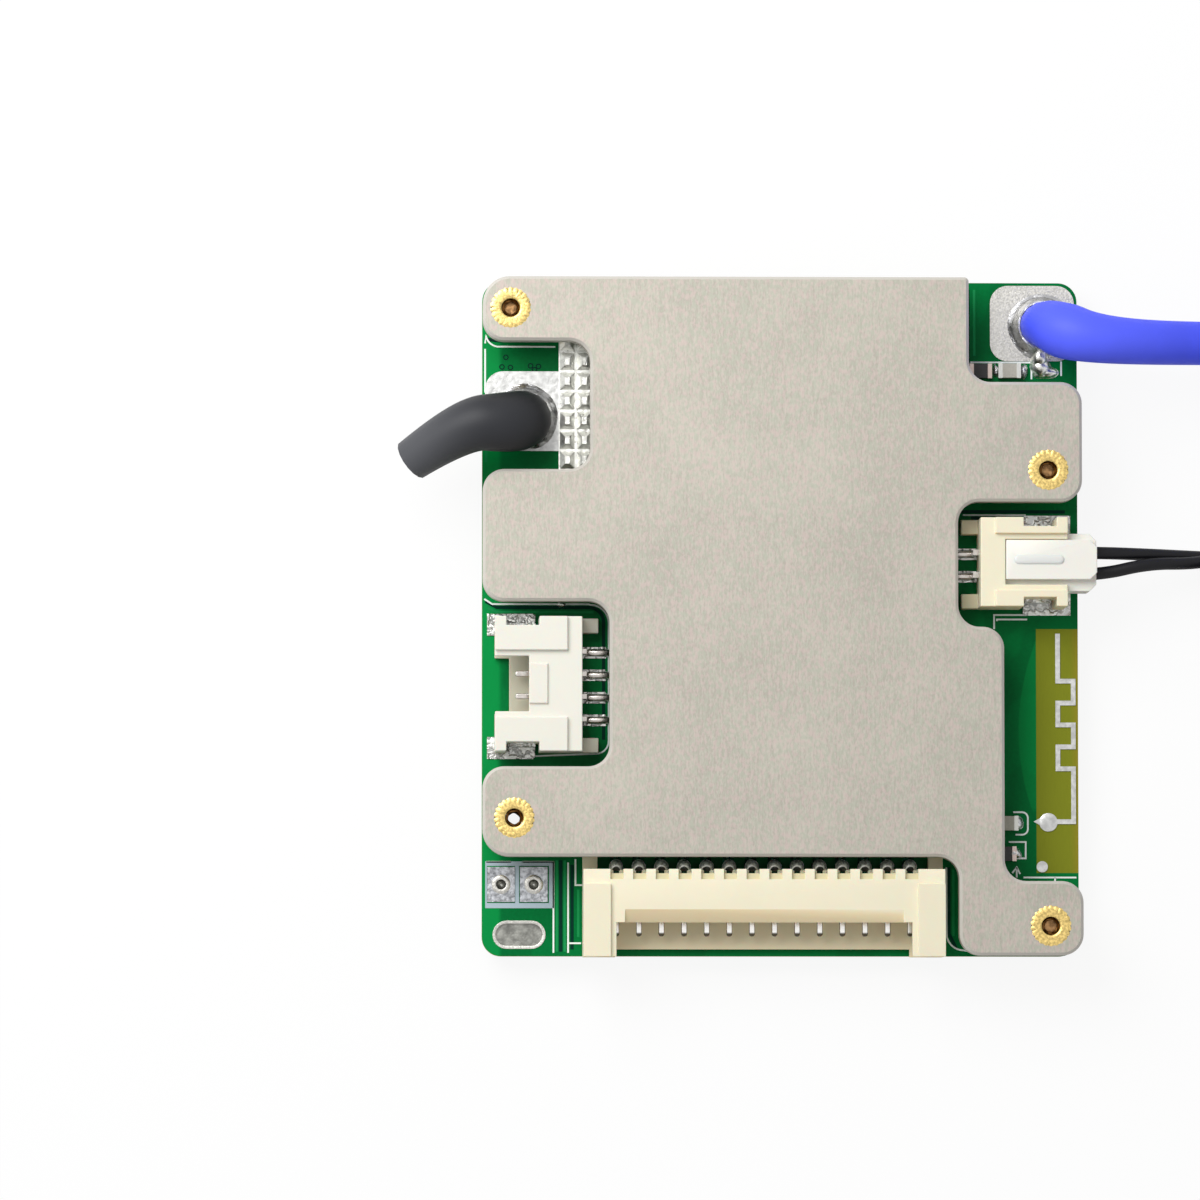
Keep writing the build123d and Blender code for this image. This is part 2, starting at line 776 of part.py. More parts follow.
def leaded_chip(at, size, leads, pitch, sides):
    """A moulded chip with rows of flat leads on the given sides."""
    width, depth, height = size
    chip = block(0, 0, board_top, width, depth, height)
    row = [(index - (leads - 1) / 2) * pitch for index in range(leads)]
    feet = []
    for turn in sides:
        edge = depth / 2 if turn in (0, 180) else width / 2
        for offset in row:
            foot = block(offset, edge + lead_reach / 2, board_top, lead_width, lead_reach, lead_thickness)
            feet.append(Rot(0, 0, turn) * foot)
    return Pos(*at, 0) * chip.fuse(*feet)


def chip_part(x, y, size, turn):
    """A chip resistor or capacitor with slightly proud metal ends."""
    length, width, height = size
    part = block(0, 0, 0, length, width, height)
    for hand in (-1, 1):
        part += block(hand * (length - chip_end) / 2, 0, 0, chip_end, width + 2 * chip_end_proud,
                      height + chip_end_proud)
    return Pos(x, y, board_top) * Rot(0, 0, turn) * part


def hung(x, y, size):
    """A box that hangs under the board."""
    width, depth, height = size
    return block(x, y, board_bottom - height, width, depth, height)


def underside_row(setback, size):
    columns = [index - (balance_cell_count - 1) / 2 for index in range(balance_cell_count)]
    return Compound(children=[
        hung(column * balance_pitch, -board_back + setback, size) for column in columns
    ])


def regulator_inductor():
    x, y = inductor_at
    return rounded_slab(x, y, 0, inductor_width, inductor_width, underside_room, inductor_corner)


def regulator_chip():
    x, y = regulator_at
    width, depth, height = regulator_size
    chip = hung(x, y, regulator_size)
    for side in (-1, 1):
        for index in range(regulator_lead_count):
            lead_y = y + (index - (regulator_lead_count - 1) / 2) * regulator_lead_pitch
            lead_x = x + side * (width + lead_reach) / 2
            chip += block(lead_x, lead_y, board_bottom - lead_thickness, lead_reach, lead_width,
                          lead_thickness)
    return chip


def lead_core(x, y):
    """The stripped conductor in its board hole, up to the end of the insulation."""
    low = board_bottom - lead_core_proud
    return rod(x, y, low, lead_core_diameter / 2, board_top + lead_standoff - low)


def lead_solder(x, y):
    """Solder round a stripped lead: a cone on the pad, the filled hole and a low mound underneath."""
    core = lead_core_diameter / 2
    sleeve = lead_diameter / 2 + lead_core_gap
    cone_bottom = board_top + tinning
    cone_top = cone_bottom + solder_ring_height
    insulation = board_top + lead_standoff
    profile = Polyline(
        (core, insulation),
        (sleeve, insulation),
        (sleeve, cone_top),
        (solder_ring_upper_radius, cone_top),
        (solder_ring_radius, cone_bottom),
        (lead_hole_radius, cone_bottom),
        (lead_hole_radius, board_bottom),
        (solder_dome_radius, board_bottom),
        (solder_dome_radius * dome_crown_share, board_bottom - solder_dome_height),
        (0, board_bottom - solder_dome_height),
        (0, board_bottom - lead_core_proud),
        (core, board_bottom - lead_core_proud),
        close=True,
    )
    return Pos(x, y, 0) * revolve(Plane.XZ * make_face(profile), Axis.Z)


def bend_radii(points):
    """The radius at each inner point of a route, from its shorter run and its turn."""
    runs = [Vector(end) - Vector(start) for start, end in zip(points, points[1:])]
    return [
        bend_share * min(before.length, after.length) / tan(radians(before.get_angle(after) / 2))
        for before, after in zip(runs, runs[1:])
    ]


def lead_tube(name, points, diameter):
    """A round lead along a route of straight runs with arcs between them."""
    radii = bend_radii(points)
    route = FilletPolyline(*points, radius=radii)
    tube = sweep(Plane(origin=route @ 0, z_dir=route % 0) * Circle(diameter / 2), path=route)
    expected = pi * diameter ** 2 / 4 * route.length
    print(name, "length", round(route.length, 1), "radii", [round(radius, 1) for radius in radii],
          "volume", round(tube.volume, 1), "of", round(expected, 1))
    return tube


def lead_end(points, diameter):
    """A rod that fills the last stretch of a lead, back from its cut end."""
    end = Vector(points[-1])
    face = Plane(origin=end, z_dir=Vector(points[-2]) - end)
    return face * rod(0, 0, 0, diameter / 2, core_end_depth)


def on_circle(x, y, radius, angle):
    return x + radius * cos(radians(angle)), y + radius * sin(radians(angle))


def lead_coil():
    """The put-away length of the battery lead: one turn on the surface, then a part turn inside it."""
    inner_radius = lead_coil_radius - lead_coil_pitch
    step_start = lead_coil_start + lead_coil_step_in
    centre = (lead_coil_x, lead_coil_y)
    outer_turn = CenterArc(centre, lead_coil_radius, lead_coil_start, lead_coil_step_in - 360)
    inner_turn = CenterArc(centre, inner_radius, lead_coil_start, -lead_coil_overlap)
    inward = []
    for index in range(1, step_points):
        share = index / step_points
        radius = lead_coil_radius - lead_coil_pitch * share * share * (3 - 2 * share)
        inward.append(on_circle(*centre, radius, step_start - lead_coil_step_in * share))
    step = Spline(outer_turn @ 1, *inward, inner_turn @ 0, tangents=[outer_turn % 1, inner_turn % 0])
    return extrude(trace([outer_turn, step, inner_turn], lead_diameter), lead_diameter)


def lead_tip():
    """The bare tinned end of the battery lead."""
    inner_radius = lead_coil_radius - lead_coil_pitch
    angle = lead_coil_start - lead_coil_overlap
    x, y = on_circle(lead_coil_x, lead_coil_y, inner_radius, angle)
    heading = (sin(radians(angle)), -cos(radians(angle)), 0)
    face = Plane(origin=(x, y, lead_diameter / 2), z_dir=heading)
    return face * rod(0, 0, 0, lead_core_diameter / 2, lead_tip_length)


def sensor_coil():
    """The put-away length of the two sensor wires: a ring of stacked turns and its straight start."""
    half = wire_diameter / 2
    ring = rod(wire_coil_x, wire_coil_y, 0, wire_coil_radius + half, wire_coil_height)
    ring += span(wire_tail_x, wire_coil_x, wire_tail_y - wire_tail_width / 2,
                 wire_tail_y + wire_tail_width / 2, 0, wire_diameter + wire_layer)
    return ring - rod(wire_coil_x, wire_coil_y, 0, wire_coil_radius - half, wire_coil_height)


def thermistor_bead():
    """A round-ended sensor bead that lies across the top of the coil."""
    end_angle = wire_coil_start - 360 * wire_coil_turns
    x, y = on_circle(wire_coil_x, wire_coil_y, wire_coil_radius, end_angle)
    chord = degrees(bead_length / 2 / wire_coil_radius)
    turn = radians(end_angle - chord)
    lie = Plane(origin=(x, y, wire_coil_height + bead_diameter / 2), z_dir=(sin(turn), -cos(turn), 0))
    bead = rod(0, 0, 0, bead_diameter / 2, bead_length)
    bead = chamfer(bead.edges().filter_by(GeomType.CIRCLE), bead_diameter / 4)
    return lie * bead


lead_start = board_top + lead_standoff
coil_entry = on_circle(lead_coil_x, lead_coil_y, lead_coil_radius, lead_coil_start)
coil_approach = (
    coil_entry[0] - lead_last_run * sin(radians(lead_coil_start)),
    coil_entry[1] + lead_last_run * cos(radians(lead_coil_start)),
)
battery_route = [
    (*battery_hole, lead_start),
    (*battery_hole, lead_start + lead_rise),
    (24.75, 25.25, 8.75),
    (27.35, 24.45, 9.84),
    (32.0, 24.15, 8.95),
    (39.9, 24.4, 5.35),
    (50.8, 24.3, lead_diameter / 2),
    (62.5, 23.3, lead_diameter / 2),
    (*coil_approach, lead_diameter / 2),
    (*coil_entry, lead_diameter / 2),
]
discharge_route = [
    (*discharge_hole, lead_start),
    (*discharge_hole, lead_start + lead_rise),
    (-24.5, 17.3, 9.05),
    (-28.2, 16.25, 9.6),
    (-32.78, 13.75, 7.1),
]

# The sensor wires start at their terminals, come together and lie one on the other at the coil
wire_start_x = sensor_back_x - plug_body_depths()[0] + terminal_length
wire_height = header_seat + pin_height
wire_floor = wire_diameter / 2
rear_wire_route = [
    (wire_start_x, sensor_y + pin_pitch / 2, wire_height),
    (28.2, sensor_y + pin_pitch / 2, wire_height),
    (32.6, 5.66, 4.4),
    (36.4, 5.62, 2.4),
    (39.7, wire_tail_y, wire_floor),
    (wire_tail_x, wire_tail_y, wire_floor),
]
front_wire_route = [
    (wire_start_x, sensor_y - pin_pitch / 2, wire_height),
    (28.2, sensor_y - pin_pitch / 2, wire_height),
    (32.6, 4.8, 5.45),
    (36.8, 4.9, 3.65),
    (39.8, wire_tail_y, wire_floor + wire_layer),
    (wire_tail_x, wire_tail_y, wire_floor + wire_layer),
]

pieces = {
    "circuit_board": circuit_board(),
    "heat_spreader": heat_spreader(),
    "threaded_standoffs": Compound(children=[threaded_standoff(x, y) for x, y in standoffs_at]),
    "board_screws": Compound(children=[board_screw(x, y) for x, y in screws_at]),
    "thermal_pad": block(thermal_pad_x, thermal_pad_y, plate_bottom - pad_thickness, thermal_pad_width,
                         thermal_pad_depth, pad_thickness),
    "front_end_chip": leaded_chip(behind_header(front_end_spot), front_end_size, front_end_lead_count,
                                  lead_pitch, (0, 180)),
    "controller_chip": leaded_chip(behind_header(controller_spot), controller_size, controller_lead_count,
                                   lead_pitch, (0, 90, 180, 270)),
    "radio_chip": block(*behind_header(radio_spot), board_top, *radio_size),
    "crystal": block(*behind_header(crystal_spot), board_top, *crystal_size),
    "chip_capacitors": Compound(children=[
        chip_part(x, y, capacitor_size, turn) for x, y, turn in capacitors_at
    ]),
    "chip_resistors": Compound(children=[
        chip_part(x, y, resistor_chip_size, turn) for x, y, turn in resistors_at
    ]),
    "balance_resistors": underside_row(resistor_row, resistor_size),
    "balance_transistors": underside_row(small_transistor_row, small_transistor_size),
    "regulator_inductor": regulator_inductor(),
    "regulator_chip": regulator_chip(),
    "protection_diode": hung(*diode_at, diode_size),
    "balance_header_housing": balance_seat * balance_housing(),
    "balance_header_contacts": balance_seat * header_contacts(balance_pin_count),
    "balance_header_tabs": balance_seat * balance_tabs(),
    "serial_header_housing": serial_seat * serial_housing(),
    "serial_header_contacts": serial_seat * header_contacts(serial_pin_count),
    "serial_header_tabs": serial_seat * header_tabs(serial_pin_count),
    "sensor_header_housing": sensor_seat * sensor_housing(),
    "sensor_header_contacts": sensor_seat * header_contacts(sensor_pin_count),
    "sensor_header_tabs": sensor_seat * header_tabs(sensor_pin_count),
    "header_solder_pads": Compound(children=[
        *[balance_seat * pad for pad in header_pads(balance_pin_count, 0, balance_pad_front)],
        *[serial_seat * pad for pad in header_pads(serial_pin_count, anchor_pad_reach, anchor_pad_front)],
        *[sensor_seat * pad for pad in header_pads(sensor_pin_count, anchor_pad_reach, anchor_pad_front)],
    ]),
    "battery_pad": battery_pad(),
    "discharge_pad": discharge_pad(),
    "current_strip": current_strip(),
    "switch_pads": switch_pads(),
    "antenna_trace": antenna_trace(),
    "battery_lead_core": lead_core(*battery_hole),
    "battery_lead_solder": lead_solder(*battery_hole),
    "discharge_lead_core": Compound(children=[
        lead_core(*discharge_hole), lead_end(discharge_route, lead_core_diameter)
    ]),
    "discharge_lead_solder": lead_solder(*discharge_hole),
    "discharge_lead_sleeve": lead_tube("discharge sleeve", discharge_route, lead_diameter)
    - lead_end(discharge_route, lead_core_diameter + 2 * lead_core_gap),
}
for index, (x, y) in enumerate(transistors_at, start=1):
    pieces[f"power_transistor_{index}"] = power_transistor(x, y)
for index, spot in enumerate(shunt_spots, start=1):
    pieces[f"current_shunt_{index}"] = chip_part(*behind_header(spot), shunt_size, 0)

leads = {
    "sensor_plug_housing": sensor_seat * sensor_plug_housing(),
    "sensor_plug_terminals": sensor_seat * sensor_terminals(),
    "sensor_wire_1": lead_tube("sensor wire 1", rear_wire_route, wire_diameter),
    "sensor_wire_2": lead_tube("sensor wire 2", front_wire_route, wire_diameter),
    "sensor_lead_coil": sensor_coil(),
    "thermistor_bead": thermistor_bead(),
    "battery_lead": lead_tube("battery lead", battery_route, lead_diameter),
    "battery_lead_coil": lead_coil(),
    "battery_lead_tip": lead_tip(),
}

# The origin is the middle of the object's base; the leads that leave it are not counted
base = Compound(list(pieces.values())).bounding_box()
to_origin = Pos(-base.center().X, -base.center().Y, -base.min.Z)
print("shift to the origin", to_origin.position, "box", base.size)

os.makedirs("parts", exist_ok=True)
for name, shape in {**pieces, **leads}.items():
    placed = to_origin * shape
    placed.label = name
    export_step(placed, f"parts/{name}.step")
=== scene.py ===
import bpy
import bmesh
import random
from math import cos, pi, radians, sin
from mathutils import Matrix, Vector


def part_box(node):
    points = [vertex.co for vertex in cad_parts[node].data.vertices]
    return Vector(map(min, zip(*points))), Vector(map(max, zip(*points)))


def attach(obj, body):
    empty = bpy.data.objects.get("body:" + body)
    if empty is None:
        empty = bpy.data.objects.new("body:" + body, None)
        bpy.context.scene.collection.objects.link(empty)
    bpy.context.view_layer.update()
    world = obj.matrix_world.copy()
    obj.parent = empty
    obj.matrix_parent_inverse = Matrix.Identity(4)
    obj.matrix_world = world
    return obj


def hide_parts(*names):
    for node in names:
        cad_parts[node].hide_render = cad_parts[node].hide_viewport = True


# A battery management board under its heat spreader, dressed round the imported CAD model.
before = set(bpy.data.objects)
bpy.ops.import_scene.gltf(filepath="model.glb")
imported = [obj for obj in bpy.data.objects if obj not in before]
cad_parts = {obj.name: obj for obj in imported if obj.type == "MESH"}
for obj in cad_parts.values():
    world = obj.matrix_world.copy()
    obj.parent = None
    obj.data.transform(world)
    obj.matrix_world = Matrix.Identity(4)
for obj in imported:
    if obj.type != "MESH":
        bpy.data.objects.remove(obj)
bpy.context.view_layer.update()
scene = bpy.context.scene
scene.view_settings.view_transform = "Standard"
mm = 0.001
boardLow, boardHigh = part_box("circuit_board")
boardMiddle = (boardLow + boardHigh) / 2
boardTop = boardHigh.z / mm
boardBottom = boardLow.z / mm
print("frame loaded,", len(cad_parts), "nodes")


def at(x, y, z):
    # millimetres from the board's middle and up from the floor
    return Vector((boardMiddle.x + x * mm, boardMiddle.y + y * mm, z * mm))


def topOf(node):
    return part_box(node)[1].z / mm


def linked(name, data):
    obj = bpy.data.objects.new(name, data)
    scene.collection.objects.link(obj)
    return obj


# the camera stands where the photograph's stood
view = {"eye": (-34.0, -42.0, 710.0), "target": (-16.02, 1.63, 3.0), "lens": 239.2, "sensor": 36.0}


def aimCamera():
    camera = linked("camera", bpy.data.cameras.new("camera"))
    camera.data.lens = view["lens"]
    camera.data.sensor_width = view["sensor"]
    eye = at(*view["eye"])
    back = (eye - at(*view["target"])).normalized()
    side = Vector((0, 1, 0)).cross(back).normalized()
    up = back.cross(side)
    camera.matrix_world = Matrix.Translation(eye) @ Matrix((side, up, back)).transposed().to_4x4()
    scene.camera = camera


aimCamera()


def mathsNode(operation, reflected=False):
    def method(wire, other=0.0):
        first, second = (other, wire) if reflected else (wire, other)
        return wire.nodes.node("ShaderNodeMath", {"operation": operation}, {0: first, 1: second})
    return method


class Wire:
    # a socket of a node tree; arithmetic on it adds Math nodes
    def __init__(self, nodes, socket):
        self.nodes = nodes
        self.socket = socket

    __add__, __radd__ = mathsNode("ADD"), mathsNode("ADD", True)
    __sub__, __rsub__ = mathsNode("SUBTRACT"), mathsNode("SUBTRACT", True)
    __mul__, __rmul__ = mathsNode("MULTIPLY"), mathsNode("MULTIPLY", True)
    __gt__, __lt__ = mathsNode("GREATER_THAN"), mathsNode("LESS_THAN")
    __abs__ = mathsNode("ABSOLUTE")
    orGreater = mathsNode("MAXIMUM")


class Nodes:
    # the nodes of a material or of the world
    def __init__(self, owner):
        owner.use_nodes = True
        self.tree = owner.node_tree

    def node(self, kind, settings, inputs, output=0):
        made = self.tree.nodes.new(kind)
        for key, value in settings.items():
            setattr(made, key, value)
        for key, value in inputs.items():
            if isinstance(value, Wire):
                self.tree.links.new(value.socket, made.inputs[key])
            else:
                made.inputs[key].default_value = value
        return Wire(self, made.outputs[output]) if made.outputs else None


def shade(level, colour):
    return tuple(channel * level for channel in colour)


class Paint(Nodes):
    # one procedural material round a Principled shader
    def __init__(self, name, **values):
        self.material = bpy.data.materials.new(name)
        super().__init__(self.material)
        self.shader = self.tree.nodes["Principled BSDF"]
        for key, value in values.items():
            self.shader.inputs[key.replace("_", " ")].default_value = value
        place = self.node("ShaderNodeTexCoord", {}, {}, "Object")
        self.place = self.node("ShaderNodeVectorMath", {"operation": "SCALE"}, {0: place, "Scale": 1 / mm})
        self.x, self.y, self.z = [self.part(self.place, axis) for axis in "XYZ"]
        self.x = self.x - boardMiddle.x / mm
        self.y = self.y - boardMiddle.y / mm

    def part(self, vector, axis):
        return self.node("ShaderNodeSeparateXYZ", {}, {0: vector}, axis)

    def noise(self, size, detail=3.0):
        # size is the grain's length in millimetres, for all axes or for each
        sizes = size if isinstance(size, tuple) else (size,) * 3
        place = self.node("ShaderNodeVectorMath", {"operation": "MULTIPLY"},
                          {0: self.place, 1: [1 / length for length in sizes]})
        return self.node("ShaderNodeTexNoise", {}, {"Vector": place, "Scale": 1.0, "Detail": detail})

    def smooth(self, value, low, high):
        return self.node("ShaderNodeMapRange", {"interpolation_type": "SMOOTHSTEP"},
                         {"Value": value, "From Min": low, "From Max": high})

    def inside(self, value, low, high, soft=0.02):
        return self.smooth(value, low - soft, low + soft) * (1 - self.smooth(value, high - soft, high + soft))

    def blend(self, factor, first, second):
        colours = [value if isinstance(value, Wire) else (*value, 1.0) for value in (first, second)]
        return self.node("ShaderNodeMix", {"data_type": "RGBA"}, {0: factor, 6: colours[0], 7: colours[1]}, 2)

    def mottle(self, pattern, colour, dark, light=1.0):
        return self.blend(pattern, shade(dark, colour), shade(light, colour))

    def facing(self, axis):
            return self.part(self.node("ShaderNodeNewGeometry", {}, {}, "Normal"), axis)

    def put(self, **links):
        for key, value in links.items():
            self.tree.links.new(value.socket, self.shader.inputs[key.replace("_", " ")])

    def bumped(self, height, distance, strength=1.0):
        self.put(Normal=self.node("ShaderNodeBump", {}, {
            "Height": height, "Distance": distance * mm, "Strength": strength}))
        return self.material


def srgb(red, green, blue):
    def straight(value):
        value /= 255
        return value / 12.92 if value <= 0.04045 else ((value + 0.055) / 1.055) ** 2.4
    return straight(red), straight(green), straight(blue)


def brushedPlate():
    # rim is the colour of the painted highlight on the plate's bevel
    look = {"colour": srgb(176, 171, 160), "rim": srgb(200, 196, 188), "pink": srgb(190, 170, 166),
            "green": srgb(164, 170, 154), "grain": (0.11, 0.34, 0.34), "streak": (0.2, 1.6, 1.6),
            "speckle": (0.3, 0.42, 0.3), "cloud": 9.0}
    paint = Paint("brushed_plate", Specular_IOR_Level=0.3)
    grain = paint.noise(look["grain"], 4.0)
    streak = paint.noise(look["streak"], 2.0)
    cloud = paint.noise(look["cloud"])
    tone = paint.smooth(grain * 0.5 + streak * 0.25 + cloud * 0.25, 0.35, 0.65)
    colour = paint.mottle(tone, look["colour"], 0.84, 1.12)
    speckle = paint.noise(look["speckle"], 2.0)
    colour = paint.blend(paint.smooth(speckle, 0.5, 0.66) * 0.5, colour, look["pink"])
    colour = paint.blend(paint.smooth(speckle, 0.5, 0.36) * 0.5, colour, look["green"])
    # painted highlight: the bare bevel is painted lighter, and it is less metallic
    rim = paint.inside(abs(paint.facing("Z")), 0.4, 0.9, 0.08)
    colour = paint.blend(rim * 0.8, colour, look["rim"])
    paint.put(Base_Color=colour, Roughness=0.42 + grain * 0.22, Metallic=0.5 - rim * 0.4)
    return paint.bumped(grain * 0.7 + streak * 0.3, 0.014, 0.6)


def solderMask():
    look = {
        "mask": srgb(2, 124, 60), "deep": srgb(2, 96, 46), "bright": srgb(12, 150, 72),
        "bare": srgb(132, 138, 38), "bareEdge": srgb(150, 136, 42), "edge": srgb(176, 168, 92),
        "bareX": (22.77, 26.6), "bareY": (-22.6, -0.9), "wornX": (25.7, 26.6), "edgeBand": (-27.0, -24.9),
        # painted light: a brighter patch beside the bare strip, which ends in a bow
        "bow": 0.024, "bowMiddle": -10.0, "litPatchX": (21.2, 26.0), "litPatchY": (-17.0, -1.5),
    }
    paint = Paint("solder_mask", Specular_IOR_Level=0.05)
    weave = paint.noise(0.3)
    pour = paint.smooth(paint.noise((6.0, 9.0, 6.0), 1.0), 0.46, 0.5)
    tone = paint.blend(weave * 0.6 + pour * 0.3, look["deep"], look["mask"])
    band = paint.inside(paint.x, *look["edgeBand"], 0.25)
    tone = paint.blend(band * 0.7, tone, look["bright"])
    along = paint.y - look["bowMiddle"]
    bowed = paint.x - look["bow"] * along * along
    # painted light: the patch beside the bare strip is brightened
    lens = paint.inside(paint.y, *look["litPatchY"], 0.3) * paint.inside(bowed, *look["litPatchX"], 0.06)
    tone = paint.blend(lens * 0.35, tone, look["bright"])
    fibres = paint.noise((0.12, 1.2, 0.12), 2.0)
    bareTone = paint.blend(paint.smooth(paint.x, *look["wornX"]), look["bare"], look["bareEdge"])
    bareTone = paint.blend(fibres * 0.5, bareTone, shade(0.75, look["bare"]))
    isBare = paint.inside(paint.x, *look["bareX"]) * paint.inside(paint.y, *look["bareY"])
    tone = paint.blend(isBare, tone, bareTone)
    isEdge = abs(paint.facing("Z")) < 0.5
    layers = paint.noise((2.0, 2.0, 0.12), 2.0)
    tone = paint.blend(isEdge, tone, paint.mottle(layers, look["edge"], 0.7))
    paint.put(Base_Color=tone, Roughness=0.3 + isBare * 0.2 + isEdge * 0.3)
    return paint.bumped(weave * 0.3 + pour * 0.7, 0.012, 0.5)


pinPitch = 2.0      # of all three headers
# the long header: where its solder and pins are painted in the plate's shade, and where its pins' tips are
# painted dark
longHeader = {"x": -1.65, "pins": 14, "padShade": (-22.6, -19.5), "beadShade": (-21.95, -21.75),
              "pinShade": (-23.4, -23.2), "tip": (-28.08, -27.88)}


def metal(name, colour, roughness, grain=0.3, lumps=0.02, spread=0.25):
    paint = Paint(name, Metallic=1.0)
    patches = paint.noise(grain)
    fine = paint.noise(grain * 0.2, 2.0)
    paint.put(Base_Color=paint.mottle(paint.smooth(patches, 0.3, 0.7), colour, 1 - spread, 1 + spread * 0.4),
              Roughness=roughness * 0.7 + patches * roughness * 0.6)
    return paint.bumped(patches * 0.8 + fine * 0.2, lumps)


def frozenSolder(name, colour, squiggle, lumps, dark, shaded=None):
    paint = Paint(name, Metallic=1.0)
    warp = paint.noise(squiggle, 2.0)
    hills = paint.smooth(warp, 0.3, 0.7)
    # painted shade: darker along the creases between the hills
    creaseShade = 1 - paint.smooth(abs(warp - 0.5), 0.0, 0.07)
    tone = paint.mottle(hills, colour, 0.62)
    tone = paint.blend(creaseShade * dark, tone, shade(0.25, colour))
    if shaded:
        # painted shade: the pads there are painted dark green, as in the plate's shadow
        tone = paint.blend(paint.inside(paint.y, *longHeader["padShade"]), tone, shaded)
    paint.put(Base_Color=tone, Roughness=0.24 + hills * 0.22)
    return paint.bumped(hills - creaseShade * 0.4, lumps)


def moulding(name, colour, roughness=0.42, grain=0.25, warm=0.06, glow=0.0, gloss=0.5, paintedShade=None, front=None):
    paint = Paint(name, Subsurface_Weight=glow, Subsurface_Scale=0.6 * mm, Specular_IOR_Level=gloss)
    flow = paint.noise(3.5, 2.0)
    fine = paint.noise(grain)
    tone = paint.mottle(flow, colour, 1 - warm)
    if paintedShade:
        # painted shade: a shaded colour towards the board
        tone = paint.blend(paint.smooth(paint.z, boardTop + 3.4, boardTop + 0.6), tone, paintedShade)
    if front:
        # painted shade: warmer and darker on the ramps over its openings, which face away from the lamp
        tone = paint.blend(paint.smooth(paint.facing("Y"), -0.12, -0.4), tone, front)
    paint.put(Base_Color=tone, Roughness=roughness - 0.06 + fine * 0.12)
    return paint.bumped(fine, 0.006, 0.6)


def insulation(name, colour, raisedHighlight, roughness, greyEnd=None):
    paint = Paint(name, Specular_IOR_Level=0.22)
    flow = paint.noise(2.2, 2.0)
    fine = paint.noise(0.18)
    tone = paint.mottle(paint.smooth(flow, 0.3, 0.7), colour, 0.92)
    # painted highlight: lighter where the leads rise high
    tone = paint.blend(paint.smooth(paint.z, 7.5, 13.0) * 0.6, tone, raisedHighlight)
    if greyEnd:
        # lighter and greyer towards the cut end
        tone = paint.blend(paint.smooth(paint.x, -25.5, -33.5) * 0.8, tone, greyEnd)
    paint.put(Base_Color=tone, Roughness=roughness - 0.05 + fine * 0.1)
    return paint.bumped(fine, 0.01, 0.6)


def partedChip(name, body, lead, height):
    # a body over metal, which ends at that height
    paint = Paint(name)
    fine = paint.noise(0.12)
    isMetal = paint.z < height
    paint.put(Base_Color=paint.blend(isMetal, paint.mottle(fine, body, 0.8, 1.3), lead),
              Metallic=isMetal, Roughness=0.55 - isMetal * 0.2)
    return paint.bumped(fine, 0.01, 0.5)


def cappedChips(name, body, cap, places):
    # caps at either end; a place is X, Y and whether the chip lies along Y
    paint = Paint(name)
    fine = paint.noise(0.15)
    isCap = 0.0
    for x, y, turned in places:
        along, across = (paint.y - y, paint.x - x) if turned else (paint.x - x, paint.y - y)
        isCap = isCap + paint.inside(abs(along), 0.62, 1.05) * paint.inside(across, -0.75, 0.75)
    tone = paint.blend(isCap, paint.mottle(fine, body, 0.8, 1.12), cap)
    paint.put(Base_Color=tone, Metallic=isCap * 0.7, Roughness=0.5 - isCap * 0.15)
    return paint.bumped(fine, 0.012, 0.6)


def contactBend(name, colour, light):
    # a pin's round back, with a painted highlight arc, brighter on the left, over a painted dark shade in front
    paint = Paint(name, Roughness=0.3)
    fine = paint.noise(0.22)
    across, along = paint.facing("X"), paint.facing("Y") + 0.75
    reach = across * across + along * along
    paintedShade = 1 - paint.smooth(reach, 0.5, 0.62)
    highlightArc = paint.inside(reach, 0.62, 0.95, 0.08) * paint.smooth(paint.facing("Z"), 0.05, 0.35)
    tone = paint.mottle(paint.smooth(fine, 0.35, 0.65), colour, 0.6, 1.3)
    tone = paint.blend(paintedShade, tone, shade(0.06, colour))
    tone = paint.blend(highlightArc * (0.7 - across * 0.5), tone, light)
    paint.put(Base_Color=tone, Metallic=0.4 - highlightArc * 0.4)
    return paint.bumped(fine, 0.006, 0.5)


def tailBead(name, colour, shaded):
    # solder painted dark as in shade, and painted dark green in the plate's shade
    paint = Paint(name)
    patches = paint.noise(0.5)
    isShaded = paint.smooth(paint.y, *longHeader["beadShade"])
    tone = paint.mottle(patches, colour, 0.8, 1.08)
    paint.put(Base_Color=paint.blend(isShaded, tone, shaded), Metallic=1 - isShaded,
              Roughness=0.45 + isShaded * 0.3)
    return paint.bumped(patches, 0.01)


def headerPin(name, colour, dark, shaded):
    # bright along its middle, with painted reflections darkening its bevels, painted shade at its tip and
    # painted dark green shade where it goes into the plate's shade
    paint = Paint(name, Metallic=1.0, Roughness=0.26)
    patches = paint.noise(0.5)
    tone = paint.mottle(patches, colour, 0.85, 1.1)
    tone = paint.blend(paint.smooth(abs(paint.facing("X")), 0.2, 0.6) * 0.85, tone, dark)
    tone = paint.blend(1 - paint.smooth(paint.y, *longHeader["tip"]), tone, shade(0.35, dark))
    tone = paint.blend(paint.smooth(paint.y, *longHeader["pinShade"]), tone, shaded)
    paint.put(Base_Color=tone)
    return paint.bumped(patches, 0.006)


